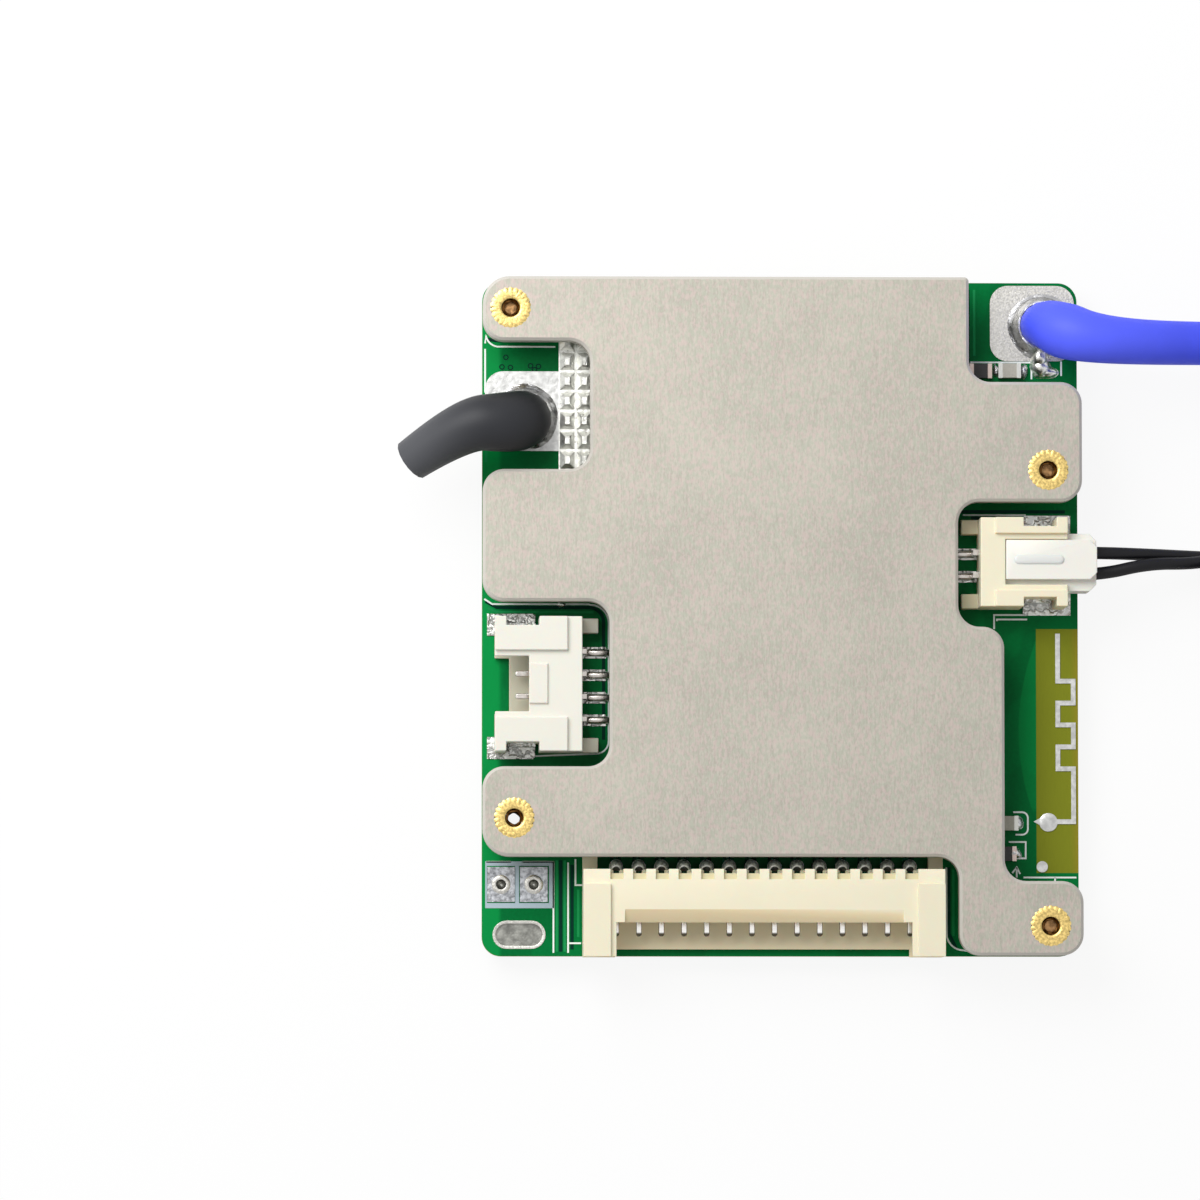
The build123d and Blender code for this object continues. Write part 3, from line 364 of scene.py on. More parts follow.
finishes = {
    "plate": brushedPlate(),
    "mask": solderMask(),
    # metals: colour, roughness, grain and lumps in millimetres, spread of the colour
    "brass": metal("turned_brass", srgb(224, 196, 124), 0.36, 0.22, 0.025, 0.36),
    "bronze": metal("dark_thread", srgb(120, 84, 44), 0.4, 0.3, 0.02, 0.4),
    "steel": metal("dark_steel", srgb(84, 78, 74), 0.3, 0.4, 0.02, 0.4),
    "tin": metal("tinned_copper", srgb(196, 196, 194), 0.36, 0.5, 0.03, 0.2),
    "pad_tin": metal("tinned_pad", srgb(192, 190, 184), 0.42, 0.16, 0.035, 0.22),
    "pin": metal("tinned_pin", srgb(206, 200, 194), 0.24, 0.5, 0.006, 0.15),
    "tab": metal("anchor_tab", srgb(160, 157, 146), 0.4, 0.4, 0.03, 0.3),
    "worn_tin": metal("worn_tin", srgb(168, 170, 174), 0.4, 0.3, 0.05, 0.5),
    "dull_solder": metal("dull_solder", srgb(146, 146, 140), 0.34, 0.9, 0.08, 0.45),
    "screw_end": metal("screw_end", srgb(160, 122, 82), 0.3, 0.5, 0.05, 0.6),
    "strip_solder": metal("strip_solder", srgb(228, 228, 222), 0.3, 0.4, 0.05, 0.18),
    "copper": metal("copper_strands", srgb(196, 120, 78), 0.35, 0.3),
    "strand": metal("tinned_strands", srgb(200, 196, 190), 0.32, 0.4),
    # solder and the long header's contacts
    "solder": frozenSolder("solder", srgb(214, 214, 216), 0.7, 0.035, 0.3),
    "rough_solder": frozenSolder("rough_solder", srgb(218, 218, 214), 0.85, 0.08, 0.7),
    "header_pad": frozenSolder("header_pad", srgb(218, 218, 214), 0.85, 0.08, 0.7, srgb(8, 52, 34)),
    "bead_solder": tailBead("solder_painted_shade", srgb(62, 64, 60), srgb(10, 70, 46)),
    # the bends' colour and the colour of their painted highlight
    "bend": contactBend("contact_bend", srgb(186, 193, 187), srgb(253, 253, 252)),
    "long_pin": headerPin("tinned_header_pin", srgb(246, 244, 240), srgb(128, 118, 98), srgb(10, 40, 26)),
    # mouldings: colour, roughness, grain, warmth of the patches, glow, gloss, painted shade towards the board,
    # painted shade on the ramps
    "ivory": moulding("ivory_nylon", srgb(237, 230, 204), 0.42, 0.25, 0.05, 0.25, 0.3, srgb(240, 228, 194),
                      srgb(236, 219, 180)),
    # painted shade: a darker copy of the ivory for the notch floors
    "notch": moulding("ivory_painted_shade_in_notches", srgb(219, 210, 172), 0.45, 0.25, 0.05, 0.1, 0.2),
    "white": moulding("white_nylon", srgb(229, 227, 216), 0.42, 0.25, 0.04, 0.2, 0.3, srgb(196, 192, 172)),
    "plug": moulding("plug_nylon", srgb(238, 236, 228), 0.35, 0.3, 0.04, 0.2, 0.3),
    "tie": moulding("tie_nylon", srgb(225, 225, 222), 0.4, 0.3, 0.05, 0.1),
    "epoxy": moulding("black_epoxy", srgb(30, 30, 32), 0.4),
    "pad": moulding("thermal_gap_pad", srgb(160, 165, 172), 0.7, 0.4),
    "silk": moulding("silkscreen_ink", srgb(244, 251, 248), 0.6, 0.2, gloss=0.1),
    "silk_block": moulding("silkscreen_block", srgb(178, 196, 206), 0.55, 0.3, 0.15, gloss=0.1),
    "trace": moulding("mask_over_trace", srgb(30, 150, 84), 0.4, 0.3, 0.2, gloss=0.05),
    "trench": moulding("mask_between_traces", srgb(2, 56, 42), 0.4, 0.3, 0.2, gloss=0.05),
    # leads: colour, painted highlight where they rise, roughness, lighter grey towards the cut end
    "blue": insulation("blue_insulation", srgb(76, 92, 252), srgb(98, 110, 254), 0.5),
    "black": insulation("black_insulation", srgb(34, 35, 38), srgb(52, 53, 57), 0.48, srgb(84, 85, 89)),
    "thin_black": insulation("thin_black_insulation", srgb(20, 20, 23), srgb(34, 34, 38), 0.42),
    # chips: body, metal or caps, height of the metal or places
    "chip": partedChip("moulded_chip", srgb(32, 32, 34), srgb(190, 190, 192), boardTop + 0.16),
    "power": partedChip("power_package", srgb(32, 32, 34), srgb(190, 190, 192), boardTop + 0.5),
    "capacitors": cappedChips("chip_capacitor", srgb(190, 186, 172), srgb(206, 206, 200), [
        (20.45, 22.1, False), (20.1, -18.2, False), (7.6, -19.1, False), (10.2, -11.4, False)]),
    "resistors": cappedChips("chip_resistor", srgb(46, 44, 44), srgb(206, 188, 180), [
        (17.9, 22.1, False), (19.95, -20.9, False), (-9.6, -8.0, True), (-9.6, -11.2, True)]),
}
print("materials made:", len(finishes))


def newPiece(name, data, finish):
    obj = linked(name, data)
    data.materials.append(finishes[finish])
    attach(obj, "root")
    return obj


# the leads come first because their room is limited
batteryLead = {
    "diameter": 3.9,
    "route": [
        (23.3, 26.1, 3.6), (23.3, 26.1, 6.35), (24.75, 25.25, 8.75), (27.35, 24.45, 9.84), (32.0, 24.15, 8.95),
        (39.9, 24.4, 5.35), (50.8, 24.3, 1.95), (62.5, 23.3, 1.95), (73.5, 21.4, 1.95), (82.195, 19.074, 1.95),
    ],
    "swell": {1: 1.06, 2: 1.34, 3: 1.14, 4: 1.02, 5: 0.98},      # it bulges at its bends
    "coil": {"centre": (76.76, -1.21), "radius": 21.0, "start": 75.0, "outerTurn": 270.0, "stepIn": 90.0,
             "inner": 72.0, "pitch": 4.0, "perTurn": 16, "tieAngle": 41.25, "tieLift": 0.45},
}
sensorWires = {
    "diameter": 1.1, "swell": {},
    "routes": [
        [(24.75, 5.75, 5.4), (28.2, 5.75, 5.4), (32.6, 5.66, 4.4), (36.4, 5.62, 2.4), (39.7, 5.6, 0.55),
         (42.3, 5.6, 0.55)],
        [(24.75, 3.75, 5.4), (28.2, 3.75, 5.4), (32.6, 4.8, 5.45), (36.8, 4.9, 3.65), (39.8, 5.6, 1.7),
         (42.3, 5.6, 1.7)],
    ],
    "coil": {"centre": (46.3, -0.5), "radius": 6.1, "start": 90.0, "turns": 2.25, "rise": 2.3, "perTurn": 16},
    "beadHeight": 8.825, "beadSpread": 1.15,
    "climbOver": 60,      # degrees in which they rise to the bead
}


def makeLead(name, points, lead, finish, slotName, *nodes):
    data = bpy.data.curves.new(name, "CURVE")
    data.dimensions = "3D"
    data.bevel_depth = lead["diameter"] / 2 * mm
    data.bevel_resolution = 6
    data.resolution_u = 10
    data.use_fill_caps = True
    spline = data.splines.new("NURBS")
    spline.points.add(len(points) - 1)
    for index, point in enumerate(points):
        spline.points[index].co = (*at(*point), 1.0)
        spline.points[index].radius = lead["swell"].get(index, 1.0)
    spline.order_u = 3
    spline.use_endpoint_u = True
    obj = newPiece(name, data, finish)
    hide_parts(*nodes)
    return obj


def eased(share):
    return share * share * (3 - 2 * share)


def coilPoint(coil, radius, angle, height):
    reach = radius / cos(pi / coil["perTurn"])
    turn = radians(angle)
    return coil["centre"][0] + reach * cos(turn), coil["centre"][1] + reach * sin(turn), height


def batteryCoilEnd():
    # where the lead's last turn ends, and its angle
    coil = batteryLead["coil"]
    turn = radians(coil["start"] - coil["outerTurn"] - coil["stepIn"] - coil["inner"])
    reach = coil["radius"] - coil["pitch"]
    x, y = coil["centre"]
    return (x + reach * cos(turn), y + reach * sin(turn), batteryLead["diameter"] / 2), turn


def batteryPoints():
    coil = batteryLead["coil"]
    step = 360 / coil["perTurn"]
    total = coil["outerTurn"] + coil["stepIn"] + coil["inner"]
    points = list(batteryLead["route"])
    turned = step
    while turned < total:
        share = min(max((turned - coil["outerTurn"]) / coil["stepIn"], 0.0), 1.0)
        offTie = (coil["start"] - turned - coil["tieAngle"] + 180) % 360 - 180
        lift = coil["tieLift"] if abs(offTie) < step else 0.0      # the tie's strap passes beneath
        points.append(coilPoint(coil, coil["radius"] - coil["pitch"] * eased(share), coil["start"] - turned,
                                batteryLead["diameter"] / 2 + lift))
        turned += step
    points.append(batteryCoilEnd()[0])
    return points


def sensorPoints(index):
    coil = sensorWires["coil"]
    points = list(sensorWires["routes"][index])
    floor = points[-1][2]
    step = 360 / coil["perTurn"]
    total = 360 * coil["turns"]
    rise = coil["rise"] * coil["turns"]
    climb = sensorWires["beadHeight"] + (index - 0.5) * sensorWires["beadSpread"] - floor - rise
    turned = 0.5 * step
    while turned < total:
        lift = max(0.0, (turned - total) / sensorWires["climbOver"] + 1)
        height = floor + coil["rise"] * turned / 360 + climb * eased(lift)
        points.append(coilPoint(coil, coil["radius"], coil["start"] - turned, height))
        turned += step
    x, y = coil["centre"]
    points.append((x + coil["radius"], y, floor + rise + climb))
    return points


batteryCord = makeLead("battery_lead_insulation", batteryPoints(), batteryLead, "blue", "blue",
                       "battery_lead", "battery_lead_coil")
sensorCords = [makeLead(f"sensor_wire_{index + 1}_insulation", sensorPoints(index), sensorWires, "thin_black",
                        "black", f"sensor_wire_{index + 1}", "sensor_lead_coil") for index in range(2)]
print("leads made")

# finishes of the CAD nodes that keep their shape
nodeFinish = {
    "mask": ["circuit_board"],
    "plate": ["heat_spreader"],
    "brass": ["threaded_standoffs"],
    "screw_end": ["board_screws"],
    "pad": ["thermal_pad"],
    "chip": ["front_end_chip", "controller_chip", "radio_chip"],
    "power": [f"power_transistor_{number}" for number in range(1, 9)],
    "steel": ["crystal", "current_shunt_1", "current_shunt_2"],
    "capacitors": ["chip_capacitors"],
    "resistors": ["chip_resistors"],
    "epoxy": ["balance_resistors", "balance_transistors", "regulator_inductor", "regulator_chip",
              "protection_diode"],
    "tab": ["balance_header_tabs"],
    "rough_solder": ["serial_header_tabs", "sensor_header_tabs"],
    "pin": ["sensor_header_contacts"],
    "header_pad": ["header_solder_pads"],
    "pad_tin": ["battery_pad"],
    "tin": ["discharge_pad", "antenna_trace", "sensor_plug_terminals"],
    "strip_solder": ["current_strip"],
    "worn_tin": ["switch_pads"],
    "copper": ["battery_lead_core", "discharge_lead_core"],
    "solder": ["battery_lead_solder", "discharge_lead_solder"],
}


def dressNodes():
    for finish, names in nodeFinish.items():
        for name in names:
            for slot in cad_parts[name].material_slots:
                slot.link = "OBJECT"
                slot.material = finishes[finish]


dressNodes()
print("CAD nodes dressed:", sum(len(names) for names in nodeFinish.values()))


def builtPiece(work, name, finish, sharpAbove=35):
    # the worked mesh as a piece, smooth but for edges sharper than that
    bmesh.ops.recalc_face_normals(work, faces=work.faces)
    mesh = bpy.data.meshes.new(name)
    work.to_mesh(mesh)
    work.free()
    mesh.shade_smooth()
    mesh.set_sharp_from_angle(angle=radians(sharpAbove))
    return newPiece(name, mesh, finish)


def addRings(work, rings, capped=True):
    # skins equal rings of points, one after the other
    rows = [[work.verts.new(point) for point in ring] for ring in rings]
    count = len(rows[0])
    for below, above in zip(rows, rows[1:]):
        for index in range(count):
            after = (index + 1) % count
            work.faces.new((below[index], below[after], above[after], above[index]))
    if capped:
        work.faces.new(rows[0])
        work.faces.new(list(reversed(rows[-1])))


def cornersOf(low, high):
    return (-1, low), (1, low), (1, high), (-1, high)


def turnsOf(count):
    return [2 * pi * index / count for index in range(count)]


def around(x, y, reach, turn, z):
    return at(x + reach * cos(turn), y + reach * sin(turn), z)


def ringRound(centre, side, up, radius, sides):
    return [at(*(centre + (side * cos(turn) + up * sin(turn)) * radius)) for turn in turnsOf(sides)]


def swellsOf(seed, count, least, most):
    chance = random.Random(seed)
    return [(chance.uniform(least, 1.0), chance.randint(2, most), chance.uniform(0, 2 * pi))
            for wave in range(count)]


def swollen(swells, turn, shift=0.0):
    return sum(size * sin(count * turn + phase + shift) for size, count, phase in swells)


def addTurned(work, x, y, z, profile, sides=48, lump=0.0, seed=0, capped=True):
    # its profile is radius and height above z, from the bottom up
    swells = swellsOf(seed, 4, 0.5, 6)
    addRings(work, [[around(x, y, radius * (1 + lump * swollen(swells, turn, z + rise)), turn, z + rise)
                     for turn in turnsOf(sides)] for radius, rise in profile], capped)


# a blob's outline as shares of its reach and its height
blobProfile = [(1.12, 0.0), (1.0, 0.1), (0.95, 0.34), (0.83, 0.6), (0.62, 0.82), (0.36, 0.95), (0.1, 1.0)]


def addBlob(work, x, y, z, reachX, reachY, height, seed, lump=0.05):
    # a dome that flares out where it wets the pad
    swells = swellsOf(seed, 3, 0.4, 5)
    rings = []
    for share, level in blobProfile:
        ring = []
        for turn in turnsOf(20):
            wide = share * (1 + lump * swollen(swells, turn))
            ring.append(at(x + wide * reachX * cos(turn), y + wide * reachY * sin(turn), z + height * level))
        rings.append(ring)
    addRings(work, rings)


def addRibbon(work, points, width, bottom, thick, closed=False):
    # a flat stroke along points, with mitred corners
    count = len(points)
    sections = []
    for index, (x, y) in enumerate(points):
        headings = []
        if closed or index > 0:
            before = points[index - 1]
            headings.append(Vector((x - before[0], y - before[1])).normalized())
        if closed or index < count - 1:
            after = points[(index + 1) % count]
            headings.append(Vector((after[0] - x, after[1] - y)).normalized())
        heading = sum(headings, Vector((0, 0))).normalized()
        mitre = min(1.8, 1 / max(0.3, abs(heading.dot(headings[0]))))
        reach = Vector((-heading.y, heading.x)) * width / 2 * mitre
        sections.append([at(x + side * reach.x, y + side * reach.y, z)
                         for side, z in cornersOf(bottom, bottom + thick)])
    if closed:
        sections.append(sections[0])
    addRings(work, sections, capped=not closed)


def arc(x, y, radius, start, end, steps=8):
    turns = [radians(start + (end - start) * index / steps) for index in range(steps + 1)]
    return [(x + radius * cos(turn), y + radius * sin(turn)) for turn in turns]


def roundedBox(x0, y0, x1, y1, corner):
    return [*arc(x1 - corner, y1 - corner, corner, 0, 90), *arc(x0 + corner, y1 - corner, corner, 90, 180),
            *arc(x0 + corner, y0 + corner, corner, 180, 270), *arc(x1 - corner, y0 + corner, corner, 270, 360)]


def stadium(place, out, steps=12):
    # an outline with round ends, out beyond the place's length and width
    reach = (place["length"] - place["width"]) / 2
    radius = place["width"] / 2 + out
    x, y = place["middle"]
    return [*arc(x + reach, y, radius, -90, 90, steps), *arc(x - reach, y, radius, 90, 270, steps)]


def addBox(work, x0, y0, z0, x1, y1, z1):
    addRings(work, [[at(x, y, z) for x, y in ((x0, y0), (x1, y0), (x1, y1), (x0, y1))] for z in (z0, z1)])


def rowOf(pins, middle):
    return [middle + (index - (pins - 1) / 2) * pinPitch for index in range(pins)]


# CAD forms with softened edges: node, finish, slot, width of the edge
softened = {
    "balance_header_shell": ("balance_header_housing", "ivory", "ivory", 0.09),
    "balance_header_pins": ("balance_header_contacts", "long_pin", "tin", 0.15),
    "serial_header_pins": ("serial_header_contacts", "pin", "tin", 0.15),
    "serial_header_shell": ("serial_header_housing", "white", "white", 0.09),
    "sensor_header_shell": ("sensor_header_housing", "ivory", "ivory", 0.09),
    "sensor_plug_shell": ("sensor_plug_housing", "plug", "plug", 0.14),
}
# the latch's rib on the plug, which the CAD has 1 mm too far out
plugRib = {"middle": (22.675, 4.96), "length": 4.45, "width": 0.85, "rise": 0.16, "stands": 0.15, "back": 1.0,
           "profile": [(0.0, -0.02), (0.04, 0.5), (0.14, 0.88), (0.26, 1.0)]}
# floors of the notches over the long header's tails
notchFloors = {"width": 1.15, "from": -23.4, "to": -22.78, "drop": 0.75, "thick": 0.5}


def ridgeTop():
    return topOf("sensor_plug_housing") - plugRib["stands"]


def soften(name, node, finish, width):
    work = bmesh.new()
    work.from_mesh(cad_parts[node].data)
    bmesh.ops.remove_doubles(work, verts=work.verts, dist=0.001 * mm)
    bmesh.ops.dissolve_limit(work, angle_limit=0.01, verts=work.verts, edges=work.edges)
    if name == "sensor_plug_shell":
        ribY = at(*plugRib["middle"], 0).y
        for vertex in work.verts:
            if abs(vertex.co.y - ribY) < 0.25 * mm and vertex.co.z > (ridgeTop() - 0.01) * mm:
                vertex.co.x -= plugRib["back"] * mm
    obj = builtPiece(work, name, finish, 40)
    bevel = obj.modifiers.new("soft edges", "BEVEL")
    bevel.width = width * mm
    bevel.segments = 2
    bevel.limit_method = "ANGLE"
    bevel.angle_limit = radians(30)
    bevel.harden_normals = True
    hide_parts(node)


def makePlugRib():
    work = bmesh.new()
    addRings(work, [[at(x, y, ridgeTop() + plugRib["rise"] * rise) for x, y in stadium(plugRib, -inset, 8)]
                    for inset, rise in plugRib["profile"]])
    builtPiece(work, "plug_rib", "tie", 60)


def makeNotchFloors():
    top = topOf("balance_header_housing") - notchFloors["drop"]
    low = top - notchFloors["thick"]
    half = notchFloors["width"] / 2
    work = bmesh.new()
    for x in rowOf(longHeader["pins"], longHeader["x"]):
        addBox(work, x - half, notchFloors["from"], low, x + half, notchFloors["to"], top)
    builtPiece(work, "balance_header_notch_floors", "notch")


for name, (node, finish, slotName, width) in softened.items():
    soften(name, node, finish, width)
makePlugRib()
makeNotchFloors()
print("housings softened:", len(softened))


# threaded inserts: rough knurled crowns and dark threads
inserts = {
    "open": (-23.7, -17.9), "screwed": [(-24.05, 27.2), (23.5, 12.9), (23.6, -27.4)],
    "bore": 0.8, "inner": 0.84, "outer": 1.8, "teeth": 22, "perTooth": 6,
    "stand": 0.06, "rough": 0.1, "toothDepth": 0.12, "cut": 0.26,
    "cutFrom": 0.42,      # the share of its width where its teeth begin
    "profile": [(0.0, 0.02), (0.06, 0.75), (0.2, 1.0), (0.42, 0.9), (0.55, 1.0), (0.8, 1.0), (1.0, 0.0)],
    "pitch": 0.4, "threadDepth": 0.28, "threadStep": 0.08, "threadSides": 28, "threadBelow": 0.12,
    "screwBelow": 0.88, "threadFoot": 0.1,
}


def addCrown(work, x, y, top, seed):
    chance = random.Random(seed)
    perTooth, cutFrom = inserts["perTooth"], inserts["cutFrom"]
    teeth = [(chance.uniform(0.5, 1.0), chance.uniform(-0.2, 0.2)) for tooth in range(inserts["teeth"])]
    count = inserts["teeth"] * perTooth
    rings = []
    for share, height in inserts["profile"]:
        ring = []
        for index in range(count):
            size, lean = teeth[index // perTooth]
            groove = abs((index % perTooth) / perTooth - 0.5 + lean * 0.3) * 2
            cut = size * max(0.0, groove - 0.35) * max(0.0, (share - cutFrom) / (1 - cutFrom))
            radius = inserts["inner"] + (inserts["outer"] - inserts["inner"]) * share - inserts["cut"] * cut
            turn = 2 * pi * (index + lean * 3) / count
            rough = chance.uniform(-inserts["rough"], inserts["rough"]) if 0.1 < share < 0.9 else 0.0
            sink = inserts["toothDepth"] * cut * (0.5 if share < 1 else 0)
            ring.append(around(x, y, radius, turn, top + inserts["stand"] * (height + rough) - sink))
        rings.append(ring)
    addRings(work, rings, capped=False)


def addThread(work, x, y, bottom, top):
    sides = inserts["threadSides"]
    rows = int((top - bottom) / inserts["threadStep"])
    rings = []
    for row in range(rows + 1):
        z = bottom + (top - bottom) * row / rows
        ring = []
        for index, turn in enumerate(turnsOf(sides)):
            phase = (z / inserts["pitch"] + index / sides) % 1
            radius = inserts["bore"] - 0.01 - inserts["threadDepth"] * (1 - abs(2 * phase - 1))
            ring.append(around(x, y, radius, turn, z))
        rings.append(ring)
    addRings(work, rings, capped=False)


def makeInserts():
    top = topOf("heat_spreader")
    crowns, threads = bmesh.new(), bmesh.new()
    places = [(*inserts["open"], boardTop + inserts["threadFoot"])]
    places += [(x, y, top - inserts["screwBelow"]) for x, y in inserts["screwed"]]
    for seed, (x, y, bottom) in enumerate(places):
        addCrown(crowns, x, y, top, seed)
        addThread(threads, x, y, bottom, top - inserts["threadBelow"])
    builtPiece(crowns, "insert_crowns", "brass", 50)
    builtPiece(threads, "insert_threads", "bronze", 60)


makeInserts()
print("inserts made")


# solder round the leads, on chip ends and on feet
solder = {
    "leads": [(23.3, 26.1), (-22.7, 17.9)],
    # radius and height above the foot
    "fillet": [(2.02, 0.95), (2.2, 0.88), (2.34, 0.6), (2.5, 0.32), (2.72, 0.14), (2.95, 0.02)],
    # from the battery lead down to the chips, and a stray drop: x, y, both reaches, height, seed
    "run": [(23.15, 23.4, 0.8, 1.0, 1.2, 5), (23.25, 22.5, 0.8, 0.95, 0.9, 6), (23.9, 22.0, 0.85, 0.5, 0.55, 7),
            (23.3, 21.85, 0.6, 0.4, 0.5, 8), (-19.45, 1.2, 0.36, 0.24, 0.3, 9)],
    # chip ends that show past the plate: x, y, both reaches, height
    "chipEnds": [
        (17.15, 22.15, 0.3, 0.5, 0.45), (19.3, 22.15, 0.28, 0.5, 0.4), (21.75, 22.1, 0.35, 0.55, 0.5),
        (20.95, -18.2, 0.62, 0.55, 0.55), (20.75, -20.85, 0.55, 0.5, 0.55), (21.15, -18.25, 0.45, 0.35, 0.4),
        (21.0, -20.95, 0.4, 0.35, 0.4),
    ],
}
# the long header's solder and rounded bends: y, rise above the board, both reaches, height
longTails = {"bead": (-22.0, 0.05, 0.5, 0.62, 0.9), "bend": (-22.12, 2.2, 0.56, 0.58, 0.72)}
# the short headers' feet: X, middle Y, pins and the way in which they point
shortTails = [(-16.35, -6.07, 4, 1), (16.5, 4.75, 2, -1)]
shortFoot = {"back": 0.85, "front": 1.15, "lift": 0.1, "half": 0.34, "height": 0.36,
             "solderAhead": 0.05, "solderLift": 0.02, "solderSize": (1.15, 0.46, 0.14)}
footProfile = [(0.0, 0.7), (0.04, 0.92), (0.1, 1.0), (0.9, 1.0), (0.96, 0.92), (1.0, 0.7)]


def addFoot(work, x0, x1, y):
    half, height, z = shortFoot["half"], shortFoot["height"], boardTop + shortFoot["lift"]
    addRings(work, [[at(x0 + (x1 - x0) * share, y + half * size * cos(turn), z + height * size * sin(turn))
                     for turn in turnsOf(20)[:11]] for share, size in footProfile])


def makeLeadFillets():
    work = bmesh.new()
    foot = boardTop + 0.08
    for seed, (x, y) in enumerate(solder["leads"]):
        addTurned(work, x, y, foot, solder["fillet"], 64, 0.012, seed, capped=False)
    builtPiece(work, "lead_solder_fillets", "solder", 60)
    work = bmesh.new()
    for x, y, reachX, reachY, height, seed in solder["run"]:
        addBlob(work, x, y, boardTop, reachX, reachY, height, seed, 0.06)
    builtPiece(work, "solder_run", "strip_solder", 60)


def makeFootFillets():
    for name, key, finish, seed, lump in (("balance_solder_beads", "bead", "bead_solder", 0, 0.04),
                                          ("balance_contact_bends", "bend", "bend", 70, 0.02)):
        y, z, reachX, reachY, height = longTails[key]
        work = bmesh.new()
        for index, x in enumerate(rowOf(longHeader["pins"], longHeader["x"])):
            addBlob(work, x, y, boardTop + z, reachX, reachY, height, index + seed, lump)
        builtPiece(work, name, finish, 60)
    work, pins = bmesh.new(), bmesh.new()
    for x, middle, count, hand in shortTails:
        for index, y in enumerate(rowOf(count, middle)):
            addBlob(work, x + hand * shortFoot["solderAhead"], y, boardTop + shortFoot["solderLift"],
                    *shortFoot["solderSize"], index + 20, 0.04)
            addFoot(pins, x - hand * shortFoot["back"], x + hand * shortFoot["front"], y)
    for index, (x, y, reachX, reachY, height) in enumerate(solder["chipEnds"]):
        addBlob(work, x, y, boardTop, reachX, reachY, height, index + 50, 0.08)
    builtPiece(work, "foot_solder_beads", "solder", 60)
    builtPiece(pins, "header_pin_feet", "pin", 60)


makeLeadFillets()
makeFootFillets()
print("solder made")


# print on the board: plain strokes without words
silk = {
    "width": 0.15, "thick": 0.03,
    "strokes": [
        # round the plate's notches
        [(-26.25, 24.5), *arc(-25, 25.4, 1.2, 190, 262), (-20, 24.2)], [(-26.25, 24), (-26.25, 20.1)],
        [(-26.3, 1.7), (-25.6, 1.25), (-17, 1.25), *arc(-16.9, -0.45, 1.65, 90, 0), (-15.25, -10.6),
         *arc(-16.4, -10.9, 1.15, 0, -80), (-22.9, -12.3)],
        [(14.75, -22.1), (14.75, -27.9), *arc(16.2, -28, 1.45, 180, 260), (17.2, -29.6)],
        [(16.3, 9.25), (21.9, 9.25)],
        # left of the balance header
        [(-26.1, -21.65), (-23.9, -21.65)], [(-22.9, -21.65), (-20.1, -21.65)],
        [(-20.15, -21.7), (-20.15, -29.7)], [(-18.85, -21.7), (-18.85, -29.7)],
        [(-18.2, -21.4), (-18.2, -23.7), (-17.5, -23.7)], [(-18.75, -28.85), (-17.7, -28.85)],
        # beside the battery pad, the sensor header and the bare strip
        [(17, 22.9), (22.45, 22.9), (22.45, 21.4)], [(25.1, 23), (25.1, 21.7)],
        [(19.05, -0.9), (19.05, 0.35), (22, 0.35)], [(19.3, -0.2), (19.3, -0.05), (22, -0.05)],
        [(20.7, -17.2), *arc(21.5, -17.7, 0.5, 90, 0, 4), *arc(21.5, -18.7, 0.5, 0, -90, 4), (20.9, -19.2)],
        [(20.3, -19.85), (21.8, -19.85), (21.8, -21.3), (20.6, -21.3)],
        [(21.6, -23), (26.3, -23)], [(24.4, -23), (24.4, -23.55)],
        [(20.6, -22.6), (21, -22.1), (21.3, -22.7)], [(21, -22.1), (21, -23)],
    ],
    # bars round the switch pads: x0, y0, x1, y1
    "block": [(-26.2, -25.75, -20.1, -25.3), (-26.2, -22, -20.1, -21.6), (-26.2, -25.3, -26.05, -22),
              (-23.55, -25.3, -23.2, -22), (-20.55, -25.3, -20.1, -22)],
}
traces = {
    "thick": 0.015, "raisedWidth": 0.22, "sunkWidth": 0.3,
    "raised": [
        [(-19.85, -21.5), (-19.85, -29.6)], [(-19.15, -21.5), (-19.15, -29.6)],
        [(-17.95, -24.1), (-17.95, -28.3)], [(-26.15, 23.6), (-26.15, 13.9)],
        [(-26, 0.9), (-25.2, 0.55), (-16.6, 0.55)], [(15.35, -22.3), (15.35, -28.2)],
        [(17.35, 29.4), (17.35, 23.5)],
    ],
    "sunk": [
        [(-19.5, -21.5), (-19.5, -29.6)], [(-18.5, -21.9), (-18.5, -29.4)],
        [(-26.3, 24.9), (-25.3, 24.75), (-20, 24.75)],
        [(-26.2, 1.5), (-25.2, 0.95), (-17, 0.95), *arc(-17, -0.35, 1.3, 90, 0), (-15.7, -10.8)],
        [(14.95, -22.1), (14.95, -28), (15.6, -29.3)], [(15.05, 9.55), (25.4, 9.55)],
        [(17, 9), (24.9, 9)], [(16.8, 29.4), (16.8, 22)],
    ],
    # small filled holes beside the discharge pad
    "holes": [(-24.4, 23.25), (-24.75, 22.4), (-24, 22.35), (-22.2, 22.5), (-21.5, 22.45), (-21.85, 22.15)],
    "holeRadius": 0.2, "holeRim": 0.1, "holeThick": 0.03,
}
# the antenna's pointed end widens into a round pad
feedPad = {"place": (23.82, -18.1), "radius": 0.82, "stands": 0.012}


def makeStrokes(name, strokes, width, thick, finish):
    work = bmesh.new()
    for stroke in strokes:
        addRibbon(work, stroke, width, boardTop, thick)
    builtPiece(work, name, finish)


